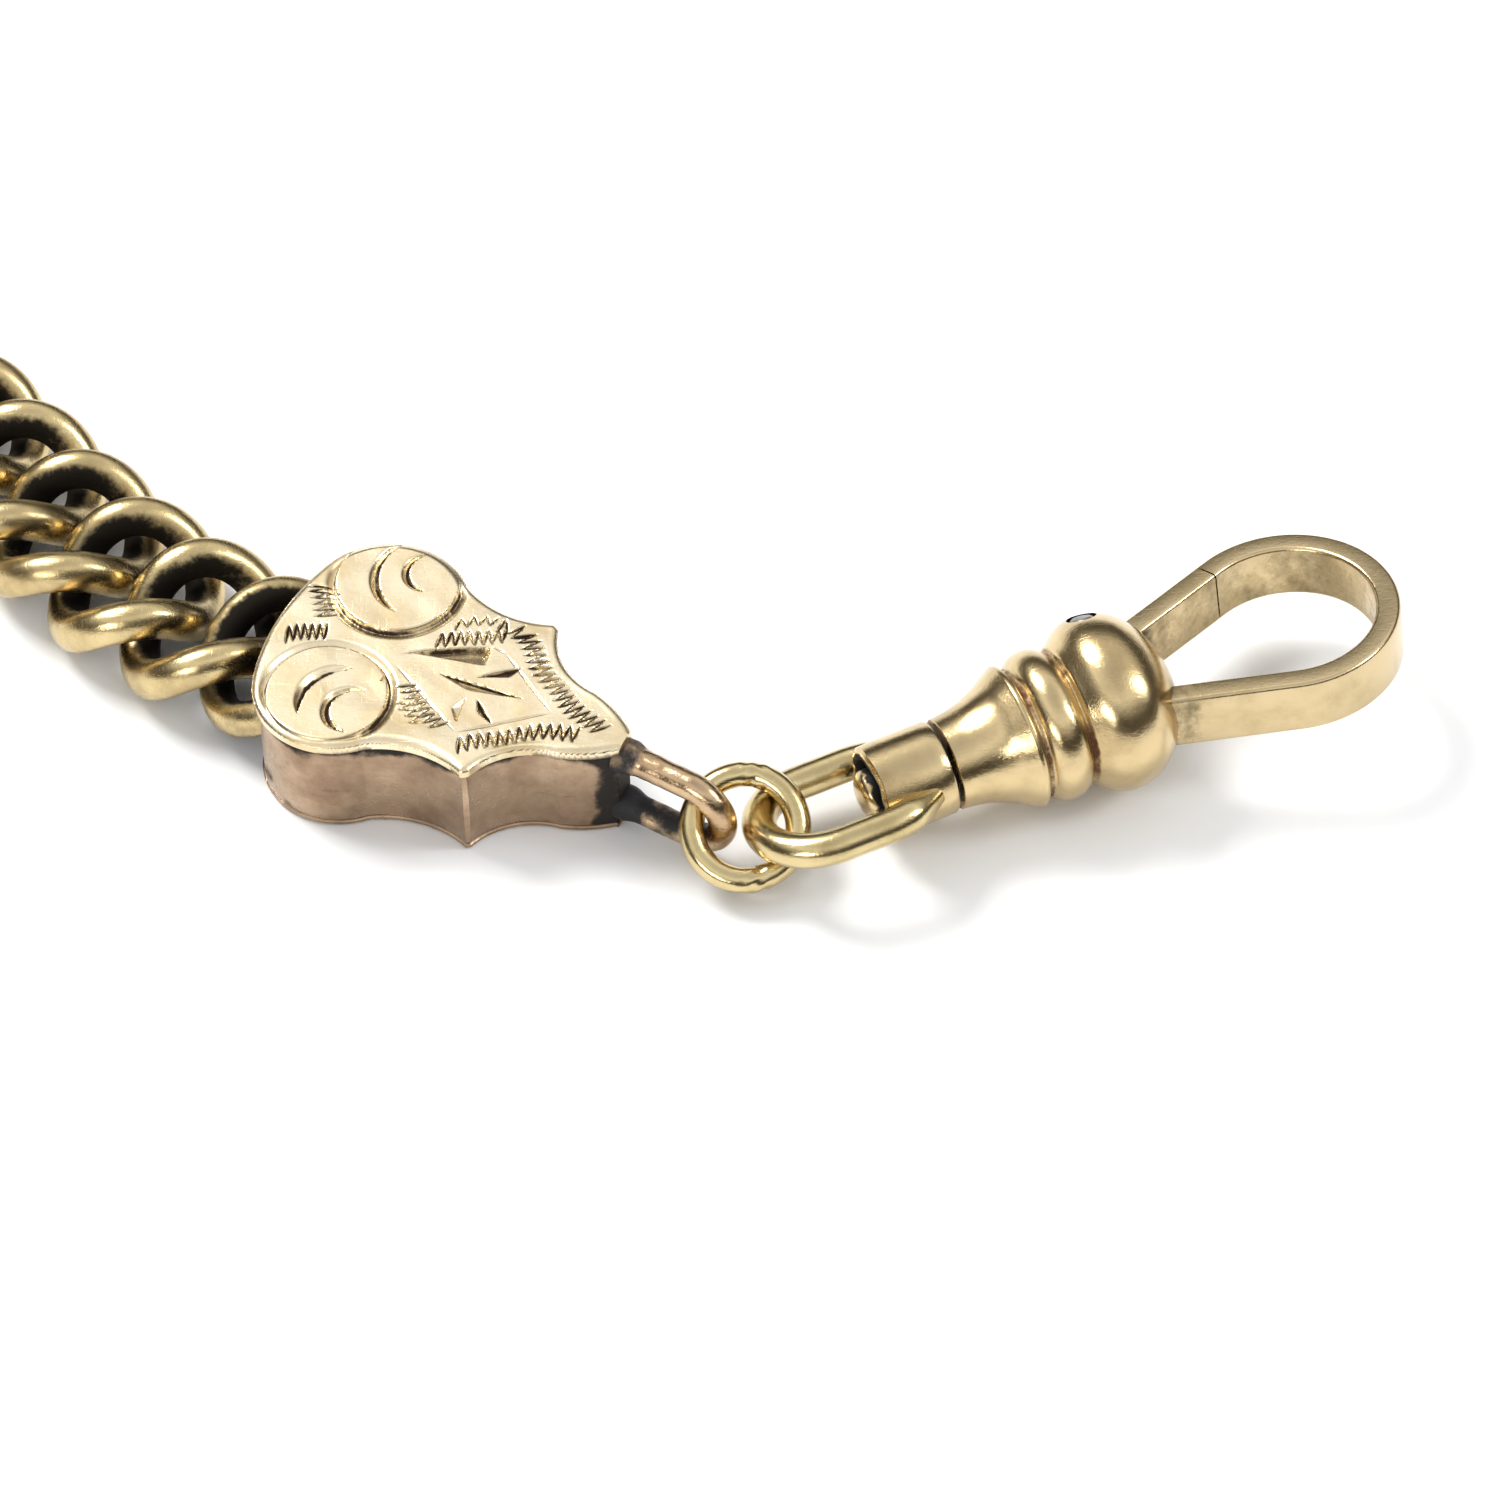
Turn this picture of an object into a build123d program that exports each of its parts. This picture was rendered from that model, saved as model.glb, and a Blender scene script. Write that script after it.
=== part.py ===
from build123d import *
import os
from math import cos, pi, radians, sin, tan

os.makedirs("parts", exist_ok=True)

# Pocket watch chain, laid out on a flat surface at z = 0. Millimetres, +Z up.
# From the watch end: swivel clip, jump ring, engraved front terminal, curb chain,
# rear terminal, rear ring, T-bar. The origin lies on the surface, midway along the back of
# the front terminal.

# Curb chain
WIRE = 1.45
PITCH = 3.70
LINK_HALF_LENGTH = 2.92
LINK_CORNERS = 12  # tangent arcs in one link
LINK_CORNER_LENGTH = 1.035  # corners stand this far outside the oval, lengthwise
LINK_CORNER_WIDTH = 1.05  # and across
LINK_HALF_WIDTH = 3.20
LINK_TWIST = 48.0
END_LINK_TWIST = 32.0
END_LINK_HALF_WIDTH = 3.15
CHAIN_HEIGHT = 1.99
NEAR_BEND = 7.5
ARCH_BEND = 8.1
ARCH_LINKS = 17
LINK_COUNT = 34

# Terminals: a flat case of a face, a wall and a back, open towards the chain
TERMINAL_LENGTH = 14.9
LOBE_WIDTH = 10.76
POINT_WIDTH = 8.1
BACK_THICKNESS = 0.30
FACE_BOTTOM = 4.50
FACE_TOP = 4.98
RELIEF_TOP = 5.10
FACE_OVERHANG = 0.12
WALL = 0.45
MOUTH_HALF_WIDTH = 4.45
MOUTH_DEPTH = 1.55
POST_RADIUS = 0.70
POST_INSET = 1.05
FRONT_YAW = -25.0
TIP_FROM_ORIGIN = 9.0
FRONT_TIP = (TIP_FROM_ORIGIN * cos(radians(FRONT_YAW)), TIP_FROM_ORIGIN * sin(radians(FRONT_YAW)))
BAIL_WIRE = 1.12
BAIL_REACH = 4.35
BAIL_TOP = 4.00
BAIL_BOTTOM = 1.10
BAIL_SKEW = -6.0

# Jump rings
RING_WIRE = 1.00
RING_RADIUS = 2.05
RING_CENTRE = (12.719, -5.985, 2.327)
RING_AZIMUTH = -88.7
RING_ELEVATION = 59.5
REAR_RING_RADIUS = 2.25
REAR_RING_REACH = 4.994
REAR_RING_HEIGHT = 2.20
REAR_RING_TURN = -78.1
REAR_RING_ELEVATION = 50.7

# Swivel clip, measured along its own axis from the fullest part of the ball
CLIP_CENTRE = (26.687, -0.794, 3.55)
CLIP_YAW = 23.5
CLIP_PITCH = 4.0
CLIP_ROLL = -10.0
BOW_ROLL = -20.0
BALL_RADIUS = 3.55
BALL_HALF_LENGTH = 2.65
NECK_RADIUS = 1.84
NECK_END = -6.85
TUBE_START = -10.0
TUBE_END = -7.05
TUBE_RADIUS = 1.88
TUBE_BORE = 0.90
PIN_RADIUS = 0.80
PIN_HEAD_RADIUS = 1.15
BOW_WIRE = 1.36
BOW_HALF_WIDTH = 2.45
BOW_END = -14.5
BAR_HEIGHT = 2.40
BAR_THICKNESS = 0.95
LOOP_CENTRE = 7.85
LOOP_RADIUS = 3.95
LEG_ANGLE = 20.0
PIVOT = (0.10, 1.85)
GATE_PIN_RADIUS = 0.55
GATE_PLAY = 0.08

# T-bar
TBAR_LENGTH = 26.0
TBAR_RADIUS = 1.15
TBAR_COLLAR_RADIUS = 1.75
TBAR_CAP_RADIUS = 1.75
TBAR_LOOP_RADIUS = 2.30
TBAR_LOOP_START = 5.477
TBAR_HEIGHT = 2.00
TBAR_LOOP_WIRE = 1.10


def frame_at(origin, yaw, pitch=0.0, roll=0.0):
    """Plane whose x runs at yaw and pitch, rolled about its own x; its z points up at no roll."""
    a = radians(yaw)
    b = radians(pitch)
    c = radians(roll)
    x = Vector(cos(a) * cos(b), sin(a) * cos(b), sin(b))
    side = Vector(-sin(a), cos(a), 0)
    top = x.cross(side)
    z = top * cos(c) - side * sin(c)
    return Plane(origin=origin, x_dir=x, z_dir=z)


def side_plane(base):
    """Plane through the same origin whose x is the base's x and whose y is the base's z."""
    return Plane(origin=base.origin, x_dir=base.x_dir, z_dir=base.y_dir * -1)


def save(builder, name):
    builder.part.label = name
    export_step(builder.part, "parts/" + name + ".step")


def link_point(t, half_width, twist):
    """Corner at angle t of a curb link's frame: an oval twisted about its long axis."""
    turn = -radians(twist) * cos(t)
    x = LINK_CORNER_LENGTH * LINK_HALF_LENGTH * cos(t)
    y = LINK_CORNER_WIDTH * half_width * sin(t) * cos(turn)
    z = LINK_CORNER_WIDTH * half_width * sin(t) * sin(turn)
    return Vector(x, y, z)


def corner_radius(before, corner, after):
    """Largest fillet that leaves a short straight between neighbouring corners."""
    turn = (corner - before).get_angle(after - corner)
    run = min((corner - before).length, (after - corner).length)
    return 0.45 * run / tan(radians(turn) / 2)


def link_master(half_width, twist):
    """One curb link about the origin: short straights joined by tangent arcs of round wire."""
    steps = [2 * pi * (i + 0.5) / LINK_CORNERS for i in range(LINK_CORNERS)]
    corners = [link_point(t, half_width, twist) for t in steps]
    around = zip(corners[-1:] + corners[:-1], corners, corners[1:] + corners[:1])
    radii = [corner_radius(*three) for three in around]
    with BuildLine() as centre:
        FilletPolyline(*corners, radius=radii, close=True)
    with BuildPart() as link:
        for edge in centre.line.edges():
            with BuildSketch(Plane(origin=edge @ 0, z_dir=edge % 0)):
                Circle(WIRE / 2)
            sweep(path=edge)
    return link


def place(name, master, base):
    with BuildPart() as placed:
        with Locations(base.location):
            add(master.part)
    save(placed, name)


def outline():
    """Scrolled shield outline, tip at the origin and the two lobes towards -x."""
    lobe = LOBE_WIDTH / 2
    point = POINT_WIDTH / 2
    start = -TERMINAL_LENGTH + 0.55
    ThreePointArc((start, -3.3), (-TERMINAL_LENGTH, 0), (start, 3.3))
    for side in (1, -1):
        ThreePointArc((start, 3.3 * side), (-11.6, lobe * side), (-9.0, 4.4 * side))
        ThreePointArc((-9.0, 4.4 * side), (-7.1, 3.75 * side), (-5.05, point * side))
        Line((-5.05, point * side), (-4.75, 3.88 * side))
        ThreePointArc((-4.75, 3.88 * side), (-3.8, 2.4 * side), (-2.1, 1.66 * side))
        ThreePointArc((-2.1, 1.66 * side), (-0.85, 1.12 * side), (0, 0.5 * side))
    Line((0, 0.5), (0, -0.5))


def make_terminal(prefix, base, bail_skew):
    with BuildPart() as back:
        with BuildSketch(base):
            with BuildLine():
                outline()
            make_face()
            offset(amount=-FACE_OVERHANG)
        extrude(amount=BACK_THICKNESS)
    save(back, prefix + "_back")

    with BuildPart() as wall:
        with BuildSketch(base.offset(BACK_THICKNESS)):
            with BuildLine():
                outline()
            make_face()
            offset(amount=-FACE_OVERHANG)
        extrude(amount=FACE_BOTTOM - BACK_THICKNESS)
        with BuildSketch(base.offset(BACK_THICKNESS)):
            with BuildLine():
                outline()
            make_face()
            offset(amount=-FACE_OVERHANG - WALL)
        extrude(amount=FACE_BOTTOM - BACK_THICKNESS, mode=Mode.SUBTRACT)
        with BuildSketch(base.offset(BACK_THICKNESS)):
            with Locations((-TERMINAL_LENGTH, 0)):
                Rectangle(2 * MOUTH_DEPTH, 2 * MOUTH_HALF_WIDTH)
        extrude(amount=FACE_BOTTOM - BACK_THICKNESS, mode=Mode.SUBTRACT)
    save(wall, prefix + "_wall")

    with BuildPart() as face:
        with BuildSketch(base.offset(FACE_BOTTOM)):
            with BuildLine():
                outline()
            make_face()
        extrude(amount=FACE_TOP - FACE_BOTTOM)
        with BuildSketch(base.offset(FACE_TOP)):
            with Locations((-11.55, 3.0), (-11.55, -3.0)):
                Circle(2.15)
        extrude(amount=RELIEF_TOP - FACE_TOP)
    save(face, prefix + "_face")

    with BuildPart() as post:
        with BuildSketch(base.offset(BACK_THICKNESS)):
            with Locations((-TERMINAL_LENGTH + 0.05 + POST_INSET, 0)):
                Circle(POST_RADIUS)
        extrude(amount=FACE_BOTTOM - BACK_THICKNESS)
    save(post, prefix + "_post")

    bail_plane = side_plane(Plane(base.location * Location((0, 0, 0), (0, 0, bail_skew))))
    middle = (BAIL_TOP + BAIL_BOTTOM) / 2
    bend = (BAIL_TOP - BAIL_BOTTOM) / 2
    with BuildPart() as bail:
        with BuildLine(bail_plane) as run:
            Line((-0.5, BAIL_TOP), (BAIL_REACH - bend, BAIL_TOP))
            ThreePointArc(
                (BAIL_REACH - bend, BAIL_TOP),
                (BAIL_REACH, middle),
                (BAIL_REACH - bend, BAIL_BOTTOM),
            )
            Line((BAIL_REACH - bend, BAIL_BOTTOM), (-0.5, BAIL_BOTTOM))
        with BuildSketch(Plane(origin=run.line @ 0, z_dir=run.line % 0)):
            Circle(BAIL_WIRE / 2)
        sweep(path=run.line)
        with BuildSketch(base.offset(-1)):
            with BuildLine():
                outline()
            make_face()
            offset(amount=-FACE_OVERHANG)
        extrude(amount=8, mode=Mode.SUBTRACT)
    save(bail, prefix + "_bail")


def make_ring(name, centre, radius, azimuth, elevation):
    a = radians(azimuth)
    e = radians(elevation)
    normal = (cos(e) * cos(a), cos(e) * sin(a), sin(e))
    with BuildPart() as ring:
        with BuildLine(Plane(origin=centre, z_dir=normal)) as circle:
            CenterArc((0, 0), radius, 0, 360)
        with BuildSketch(Plane(origin=circle.line @ 0, z_dir=circle.line % 0)):
            Circle(RING_WIRE / 2)
        sweep(path=circle.line)
    save(ring, name)


# ---------------------------------------------------------------- chain layout
def chain_stations():
    """Centre and heading of every link, walking away from the front terminal."""
    bends = [0.0, -NEAR_BEND, -NEAR_BEND, -NEAR_BEND, 0.0, 0.0]
    bends += [ARCH_BEND] * ARCH_LINKS
    bends += [0.0] * (LINK_COUNT - len(bends))
    heading = FRONT_YAW + 180
    a = radians(FRONT_YAW)
    reach = TERMINAL_LENGTH - 0.05
    x = FRONT_TIP[0] - reach * cos(a)
    y = FRONT_TIP[1] - reach * sin(a)
    stations = []
    for bend in bends:
        if stations:
            before = radians(heading)
            x += PITCH / 2 * cos(before)
            y += PITCH / 2 * sin(before)
            heading += bend
            after = radians(heading)
            x += PITCH / 2 * cos(after)
            y += PITCH / 2 * sin(after)
        stations.append((x, y, heading))
    return stations


STATIONS = chain_stations()

curb_link = link_master(LINK_HALF_WIDTH, LINK_TWIST)
end_link = link_master(END_LINK_HALF_WIDTH, END_LINK_TWIST)

for number, (x, y, heading) in enumerate(STATIONS, start=1):
    master = end_link if number in (1, LINK_COUNT) else curb_link
    place("chain_link_%02d" % number, master, frame_at((x, y, CHAIN_HEIGHT), heading + 180))

# ------------------------------------------------------------------- terminals
front_base = frame_at((FRONT_TIP[0], FRONT_TIP[1], 0), FRONT_YAW)
make_terminal("front_terminal", front_base, BAIL_SKEW)

last_x, last_y, last_heading = STATIONS[-1]
last_angle = radians(last_heading)
rear_reach = TERMINAL_LENGTH - 0.05
rear_tip = (last_x + rear_reach * cos(last_angle), last_y + rear_reach * sin(last_angle), 0)
rear_base = frame_at(rear_tip, last_heading)
make_terminal("rear_terminal", rear_base, 0.0)

# ------------------------------------------------------------------ jump rings
make_ring("jump_ring", RING_CENTRE, RING_RADIUS, RING_AZIMUTH, RING_ELEVATION)

rear_ring_spot = Plane(rear_base.location * Location((REAR_RING_REACH, 0, REAR_RING_HEIGHT)))
make_ring(
    "rear_ring",
    rear_ring_spot.origin,
    REAR_RING_RADIUS,
    last_heading + REAR_RING_TURN,
    REAR_RING_ELEVATION,
)

# ----------------------------------------------------------------- swivel clip
clip = frame_at(CLIP_CENTRE, CLIP_YAW, CLIP_PITCH, CLIP_ROLL)
clip_side = side_plane(clip)
clip_axis = Axis(clip.origin, clip.x_dir)
bow_base = frame_at(CLIP_CENTRE, CLIP_YAW, CLIP_PITCH, BOW_ROLL)

with BuildPart() as swivel_tube:
    with BuildSketch(clip_side):
        with BuildLine():
            Polyline(
                (TUBE_START, 1.35),
                (TUBE_START, TUBE_RADIUS - 0.12),
                (TUBE_START + 0.12, TUBE_RADIUS),
                (TUBE_END, TUBE_RADIUS),
                (TUBE_END, TUBE_BORE),
                (TUBE_START + 0.70, TUBE_BORE),
                (TUBE_START + 0.70, 1.35),
                close=True,
            )
        make_face()
    revolve(axis=clip_axis, revolution_arc=360)
save(swivel_tube, "swivel_tube")

with BuildPart() as swivel_bow:
    with BuildLine(bow_base) as run:
        ThreePointArc((-8.00, -1.55), (-9.01, -2.215), (-10.20, -BOW_HALF_WIDTH))
        Line((-10.20, -BOW_HALF_WIDTH), (BOW_END + BOW_HALF_WIDTH, -BOW_HALF_WIDTH))
        ThreePointArc(
            (BOW_END + BOW_HALF_WIDTH, -BOW_HALF_WIDTH),
            (BOW_END, 0),
            (BOW_END + BOW_HALF_WIDTH, BOW_HALF_WIDTH),
        )
        Line((BOW_END + BOW_HALF_WIDTH, BOW_HALF_WIDTH), (-10.20, BOW_HALF_WIDTH))
        ThreePointArc((-10.20, BOW_HALF_WIDTH), (-9.01, 2.215), (-8.00, 1.55))
    with BuildSketch(Plane(origin=run.line @ 0, z_dir=run.line % 0)):
        Circle(BOW_WIRE / 2)
    sweep(path=run.line)
    with BuildSketch(clip_side):
        with BuildLine():
            Polyline(
                (TUBE_START, 0),
                (TUBE_START, TUBE_RADIUS - 0.12),
                (TUBE_START + 0.12, TUBE_RADIUS),
                (TUBE_END, TUBE_RADIUS),
                (TUBE_END, 0),
                close=True,
            )
        make_face()
    revolve(axis=clip_axis, revolution_arc=360, mode=Mode.SUBTRACT)
save(swivel_bow, "swivel_bow")

with BuildPart() as swivel_pin:
    with BuildSketch(clip_side):
        with BuildLine():
            Polyline(
                (-4.60, 0),
                (-4.60, PIN_RADIUS),
                (TUBE_START + 0.60, PIN_RADIUS),
                (TUBE_START + 0.60, PIN_HEAD_RADIUS),
                (TUBE_START - 0.25, PIN_HEAD_RADIUS),
            )
            Spline(
                (TUBE_START - 0.25, PIN_HEAD_RADIUS),
                (TUBE_START - 0.45, 0.80),
                (TUBE_START - 0.55, 0),
                tangents=((-0.3, -0.7), (0, -1)),
            )
            Line((TUBE_START - 0.55, 0), (-4.60, 0))
        make_face()
    revolve(axis=clip_axis, revolution_arc=360)
save(swivel_pin, "swivel_pin")

RIM = (-3.72, 2.86)
BEAD_START = (-3.36, 2.62)
BALL_START = (-1.62, 2.76)


def body_profile():
    """Half section of the turned body: flared neck, rim, bead and flattened ball."""
    Line((NECK_END, 0), (NECK_END, NECK_RADIUS))
    Spline(
        (NECK_END, NECK_RADIUS),
        (-6.05, 1.93),
        (-5.40, 2.11),
        (-4.82, 2.35),
        (-4.36, 2.62),
        (-3.98, 2.84),
        tangents=((1, 0.05), (1, 0.35)),
    )
    ThreePointArc((-3.98, 2.84), (-3.83, 2.90), RIM)
    Line(RIM, (-3.58, 2.62))
    Line((-3.58, 2.62), BEAD_START)
    ThreePointArc(BEAD_START, (-2.46, 3.05), (-1.80, 2.72))
    Line((-1.80, 2.72), BALL_START)
    Spline(
        BALL_START,
        (-0.80, 3.38),
        (0, BALL_RADIUS),
        (1.00, 3.29),
        (1.90, 2.48),
        (2.45, 1.30),
        (BALL_HALF_LENGTH, 0.0),
        tangents=((0.60, 0.80), (0, -1)),
    )
    Line((BALL_HALF_LENGTH, 0), (NECK_END, 0))


leg = radians(LEG_ANGLE)
LEG_TOUCH = (LOOP_CENTRE - LOOP_RADIUS * sin(leg), LOOP_RADIUS * cos(leg))
LEG_ROOT = (0.40, LEG_TOUCH[1] - (LEG_TOUCH[0] - 0.40) * sin(leg) / cos(leg))
half_bar = BAR_THICKNESS / 2

# The joint between hook and gate is a slanted cut across the far leg of the loop
CUT_OUTER = (5.60, 4.60)
CUT_INNER = (6.70, 2.60)


def loop_bar():
    """Plan of the flat bar of the loop from the near leg root round to the far leg root."""
    outer = LOOP_RADIUS + half_bar
    inner = LOOP_RADIUS - half_bar
    dx = half_bar * sin(leg)
    dy = half_bar * cos(leg)
    tx, ty = LEG_TOUCH
    rx, ry = LEG_ROOT
    for radius, s in ((outer, 1), (inner, -1)):
        near = (tx - s * dx, -ty - s * dy)
        far = (tx - s * dx, ty + s * dy)
        ThreePointArc(near, (LOOP_CENTRE + radius, 0), far)
        Line((rx - s * dx, -ry - s * dy), near)
        Line(far, (rx - s * dx, ry + s * dy))
    Line((rx - dx, -ry - dy), (rx + dx, -ry + dy))
    Line((rx - dx, ry + dy), (rx + dx, ry - dy))


with BuildPart() as hook:
    with BuildSketch(clip):
        with BuildLine():
            loop_bar()
        make_face()
        with BuildLine():
            Polyline(
                (-2.0, 0.0),
                (7.85, 0.0),
                CUT_INNER,
                CUT_OUTER,
                (4.0, 7.0),
                (-2.0, 7.0),
                close=True,
            )
        make_face(mode=Mode.SUBTRACT)
    extrude(amount=BAR_HEIGHT / 2, both=True)
save(hook, "hook")

with BuildPart() as gate:
    with BuildSketch(clip):
        with BuildLine():
            loop_bar()
        make_face()
        with BuildLine():
            Polyline(
                (-2.0, 0.0),
                (7.85 - GATE_PLAY, 0.0),
                (CUT_INNER[0] - GATE_PLAY, CUT_INNER[1]),
                (CUT_OUTER[0] - GATE_PLAY, CUT_OUTER[1]),
                (4.0, 7.0),
                (-2.0, 7.0),
                close=True,
            )
        make_face(mode=Mode.INTERSECT)
        with Locations(PIVOT):
            Circle(1.0)
            Circle(GATE_PIN_RADIUS + GATE_PLAY, mode=Mode.SUBTRACT)
    extrude(amount=BAR_HEIGHT / 2, both=True)
save(gate, "gate")

with BuildPart() as clip_body:
    with BuildSketch(clip_side):
        with BuildLine():
            body_profile()
        make_face()
    revolve(axis=clip_axis, revolution_arc=360)
    with BuildSketch(clip_side):
        with Locations(((NECK_END - 4.60) / 2, 0)):
            Rectangle(-NECK_END - 4.60, 2 * PIN_RADIUS)
        with Locations(((NECK_END - 4.60) / 2, -PIN_RADIUS)):
            Rectangle(-NECK_END - 4.60, 2 * PIN_RADIUS, mode=Mode.SUBTRACT)
    revolve(axis=clip_axis, revolution_arc=360, mode=Mode.SUBTRACT)
    with BuildSketch(clip):
        with BuildLine():
            Polyline(
                (-1.10, 0.45),
                (0.60, 0.40),
                (1.60, -0.10),
                (3.40, -0.55),
                (3.40, 2.78),
                (1.15, 2.78),
                (0.60, 3.02),
                (-0.50, 3.02),
                (-1.10, 2.60),
                close=True,
            )
        make_face()
    extrude(amount=BAR_HEIGHT / 2 + GATE_PLAY, both=True, mode=Mode.SUBTRACT)
    with BuildSketch(clip):
        with Locations(PIVOT):
            Circle(GATE_PIN_RADIUS)
    extrude(amount=5, both=True, mode=Mode.SUBTRACT)
    add(hook.part, mode=Mode.SUBTRACT)
save(clip_body, "clip_body")

with BuildPart() as gate_pin:
    with BuildSketch(clip_side):
        with BuildLine():
            body_profile()
        make_face()
    revolve(axis=clip_axis, revolution_arc=360)
    with BuildSketch(clip):
        with Locations(PIVOT):
            Circle(GATE_PIN_RADIUS)
    extrude(amount=5, both=True, mode=Mode.INTERSECT)
save(gate_pin, "gate_pin")

with BuildPart() as gate_spring:
    with BuildSketch(clip):
        with Locations((-0.30, 0.62)):
            Rectangle(1.60, 0.22)
    extrude(amount=0.80, both=True)
save(gate_spring, "gate_spring")

# ----------------------------------------------------------------------- T-bar
loop_reach = TBAR_LOOP_START + TBAR_LOOP_RADIUS
loop_spot = Plane(rear_base.location * Location((loop_reach, 0, TBAR_HEIGHT)))
loop_plane = frame_at(loop_spot.origin, last_heading)
tbar_shift = TBAR_LOOP_RADIUS + 1.30
bar_origin = loop_plane.origin + loop_plane.x_dir * tbar_shift
bar_plane = frame_at(bar_origin, last_heading + 90)
bar_side = side_plane(bar_plane)
bar_axis = Axis(bar_plane.origin, bar_plane.x_dir)
half_bar_length = TBAR_LENGTH / 2



def bar_profile():
    """Half section of the turned bar with its centre collar."""
    end = half_bar_length - 1.6
    Polyline(
        (-end, 0),
        (-end, TBAR_RADIUS - 0.15),
        (-1.90, TBAR_RADIUS),
        (-1.90, 1.55),
        (-1.40, 1.55),
    )
    ThreePointArc((-1.40, 1.55), (0, TBAR_COLLAR_RADIUS), (1.40, 1.55))
    Polyline(
        (1.40, 1.55),
        (1.90, 1.55),
        (1.90, TBAR_RADIUS),
        (end, TBAR_RADIUS - 0.15),
        (end, 0),
        (-end, 0),
    )


with BuildPart() as tbar_bar:
    with BuildSketch(bar_side):
        with BuildLine():
            bar_profile()
        make_face()
    revolve(axis=bar_axis, revolution_arc=360)
save(tbar_bar, "tbar_bar")

for side, label in ((1, "left"), (-1, "right")):
    with BuildPart() as cap:
        with BuildSketch(bar_side):
            with BuildLine():
                inner_end = side * (half_bar_length - 1.6)
                outer_end = side * (half_bar_length + 0.9)
                Line((inner_end, 0), (inner_end, 1.15))
                Spline(
                    (inner_end, 1.15),
                    (side * (half_bar_length - 0.9), 1.66),
                    (side * (half_bar_length - 0.2), 1.66),
                    (side * (half_bar_length + 0.5), 1.05),
                    (outer_end, 0),
                    tangents=((side * 0.7, 0.7), (0, -1)),
                )
                Line((outer_end, 0), (inner_end, 0))
            make_face()
        revolve(axis=bar_axis, revolution_arc=360)
    save(cap, "tbar_cap_" + label)

with BuildPart() as tbar_loop:
    with BuildLine(loop_plane) as circle:
        CenterArc((0, 0), TBAR_LOOP_RADIUS, 0, 360)
    with BuildSketch(Plane(origin=circle.line @ 0, z_dir=circle.line % 0)):
        Circle(TBAR_LOOP_WIRE / 2)
    sweep(path=circle.line)
    with BuildSketch(bar_side):
        with BuildLine():
            bar_profile()
        make_face()
    revolve(axis=bar_axis, revolution_arc=360, mode=Mode.SUBTRACT)
save(tbar_loop, "tbar_loop")
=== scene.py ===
import bpy
import math
import numpy as np
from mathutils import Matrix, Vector


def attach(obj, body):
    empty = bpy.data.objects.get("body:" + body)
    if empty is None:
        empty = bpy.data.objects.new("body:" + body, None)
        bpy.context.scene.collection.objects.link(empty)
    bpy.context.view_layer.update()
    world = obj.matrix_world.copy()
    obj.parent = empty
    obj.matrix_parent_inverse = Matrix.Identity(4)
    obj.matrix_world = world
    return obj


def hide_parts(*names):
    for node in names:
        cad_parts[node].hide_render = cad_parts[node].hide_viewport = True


# Everything below is laid out in millimetres in the CAD frame and scaled to metres as each
# mesh is made.
MM = 0.001

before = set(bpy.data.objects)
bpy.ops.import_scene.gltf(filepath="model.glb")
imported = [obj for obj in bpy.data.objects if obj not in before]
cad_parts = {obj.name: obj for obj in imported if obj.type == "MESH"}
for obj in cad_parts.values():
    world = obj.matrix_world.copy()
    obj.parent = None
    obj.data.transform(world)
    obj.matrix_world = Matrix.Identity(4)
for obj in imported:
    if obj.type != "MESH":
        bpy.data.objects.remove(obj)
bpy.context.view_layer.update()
scene = bpy.context.scene


# ---- small maths
class Place:
    """A flat frame: an origin in mm and three unit directions, as the CAD planes have."""

    def __init__(self, origin, yaw, pitch=0.0, roll=0.0):
        a, b, c = math.radians(yaw), math.radians(pitch), math.radians(roll)
        x = np.array([math.cos(a) * math.cos(b), math.sin(a) * math.cos(b), math.sin(b)])
        side = np.array([-math.sin(a), math.cos(a), 0.0])
        top = np.cross(x, side)
        z = top * math.cos(c) - side * math.sin(c)
        self.origin = np.array(origin, float)
        self.axes = np.array([x, np.cross(z, x), z])

    def out(self, points):
        return self.origin + np.asarray(points, float) @ self.axes

    def moved(self, x, y, z):
        copy = Place((0, 0, 0), 0)
        copy.origin = self.out([x, y, z])
        copy.axes = self.axes
        return copy


def unit(v):
    return v / np.maximum(np.linalg.norm(v, axis=-1, keepdims=True), 1e-12)


def smooth(x, low, high):
    t = np.clip((x - low) / (high - low), 0, 1)
    return t * t * (3 - 2 * t)


def ripple(points, size, seed):
    """Soft noise from -1 to 1 over points in mm; size is the width of its lumps."""
    rng = np.random.default_rng(seed)
    total = np.zeros(len(points))
    for _ in range(7):
        wave = unit(rng.normal(size=3)) * (2 * math.pi / size) * rng.uniform(0.6, 1.5)
        total += np.sin(points @ wave + rng.uniform(0, 6.28))
    return np.clip(total / 3.2, -1, 1)


def arc_points(a, b, c, count):
    """Points on the circular arc from a through b to c."""
    a, b, c = (np.array(p, float) for p in (a, b, c))
    m = 2 * np.array([b - a, c - a])
    centre = np.linalg.solve(m, np.array([b @ b - a @ a, c @ c - a @ a]))
    angle = [math.atan2(*(p - centre)[::-1]) for p in (a, b, c)]
    turn = (angle[2] - angle[0]) % (2 * math.pi)
    if (angle[1] - angle[0]) % (2 * math.pi) > turn:
        turn -= 2 * math.pi
    t = angle[0] + turn * np.linspace(0, 1, count)
    radius = np.linalg.norm(a - centre)
    return centre + radius * np.stack([np.cos(t), np.sin(t)], 1)


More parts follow.
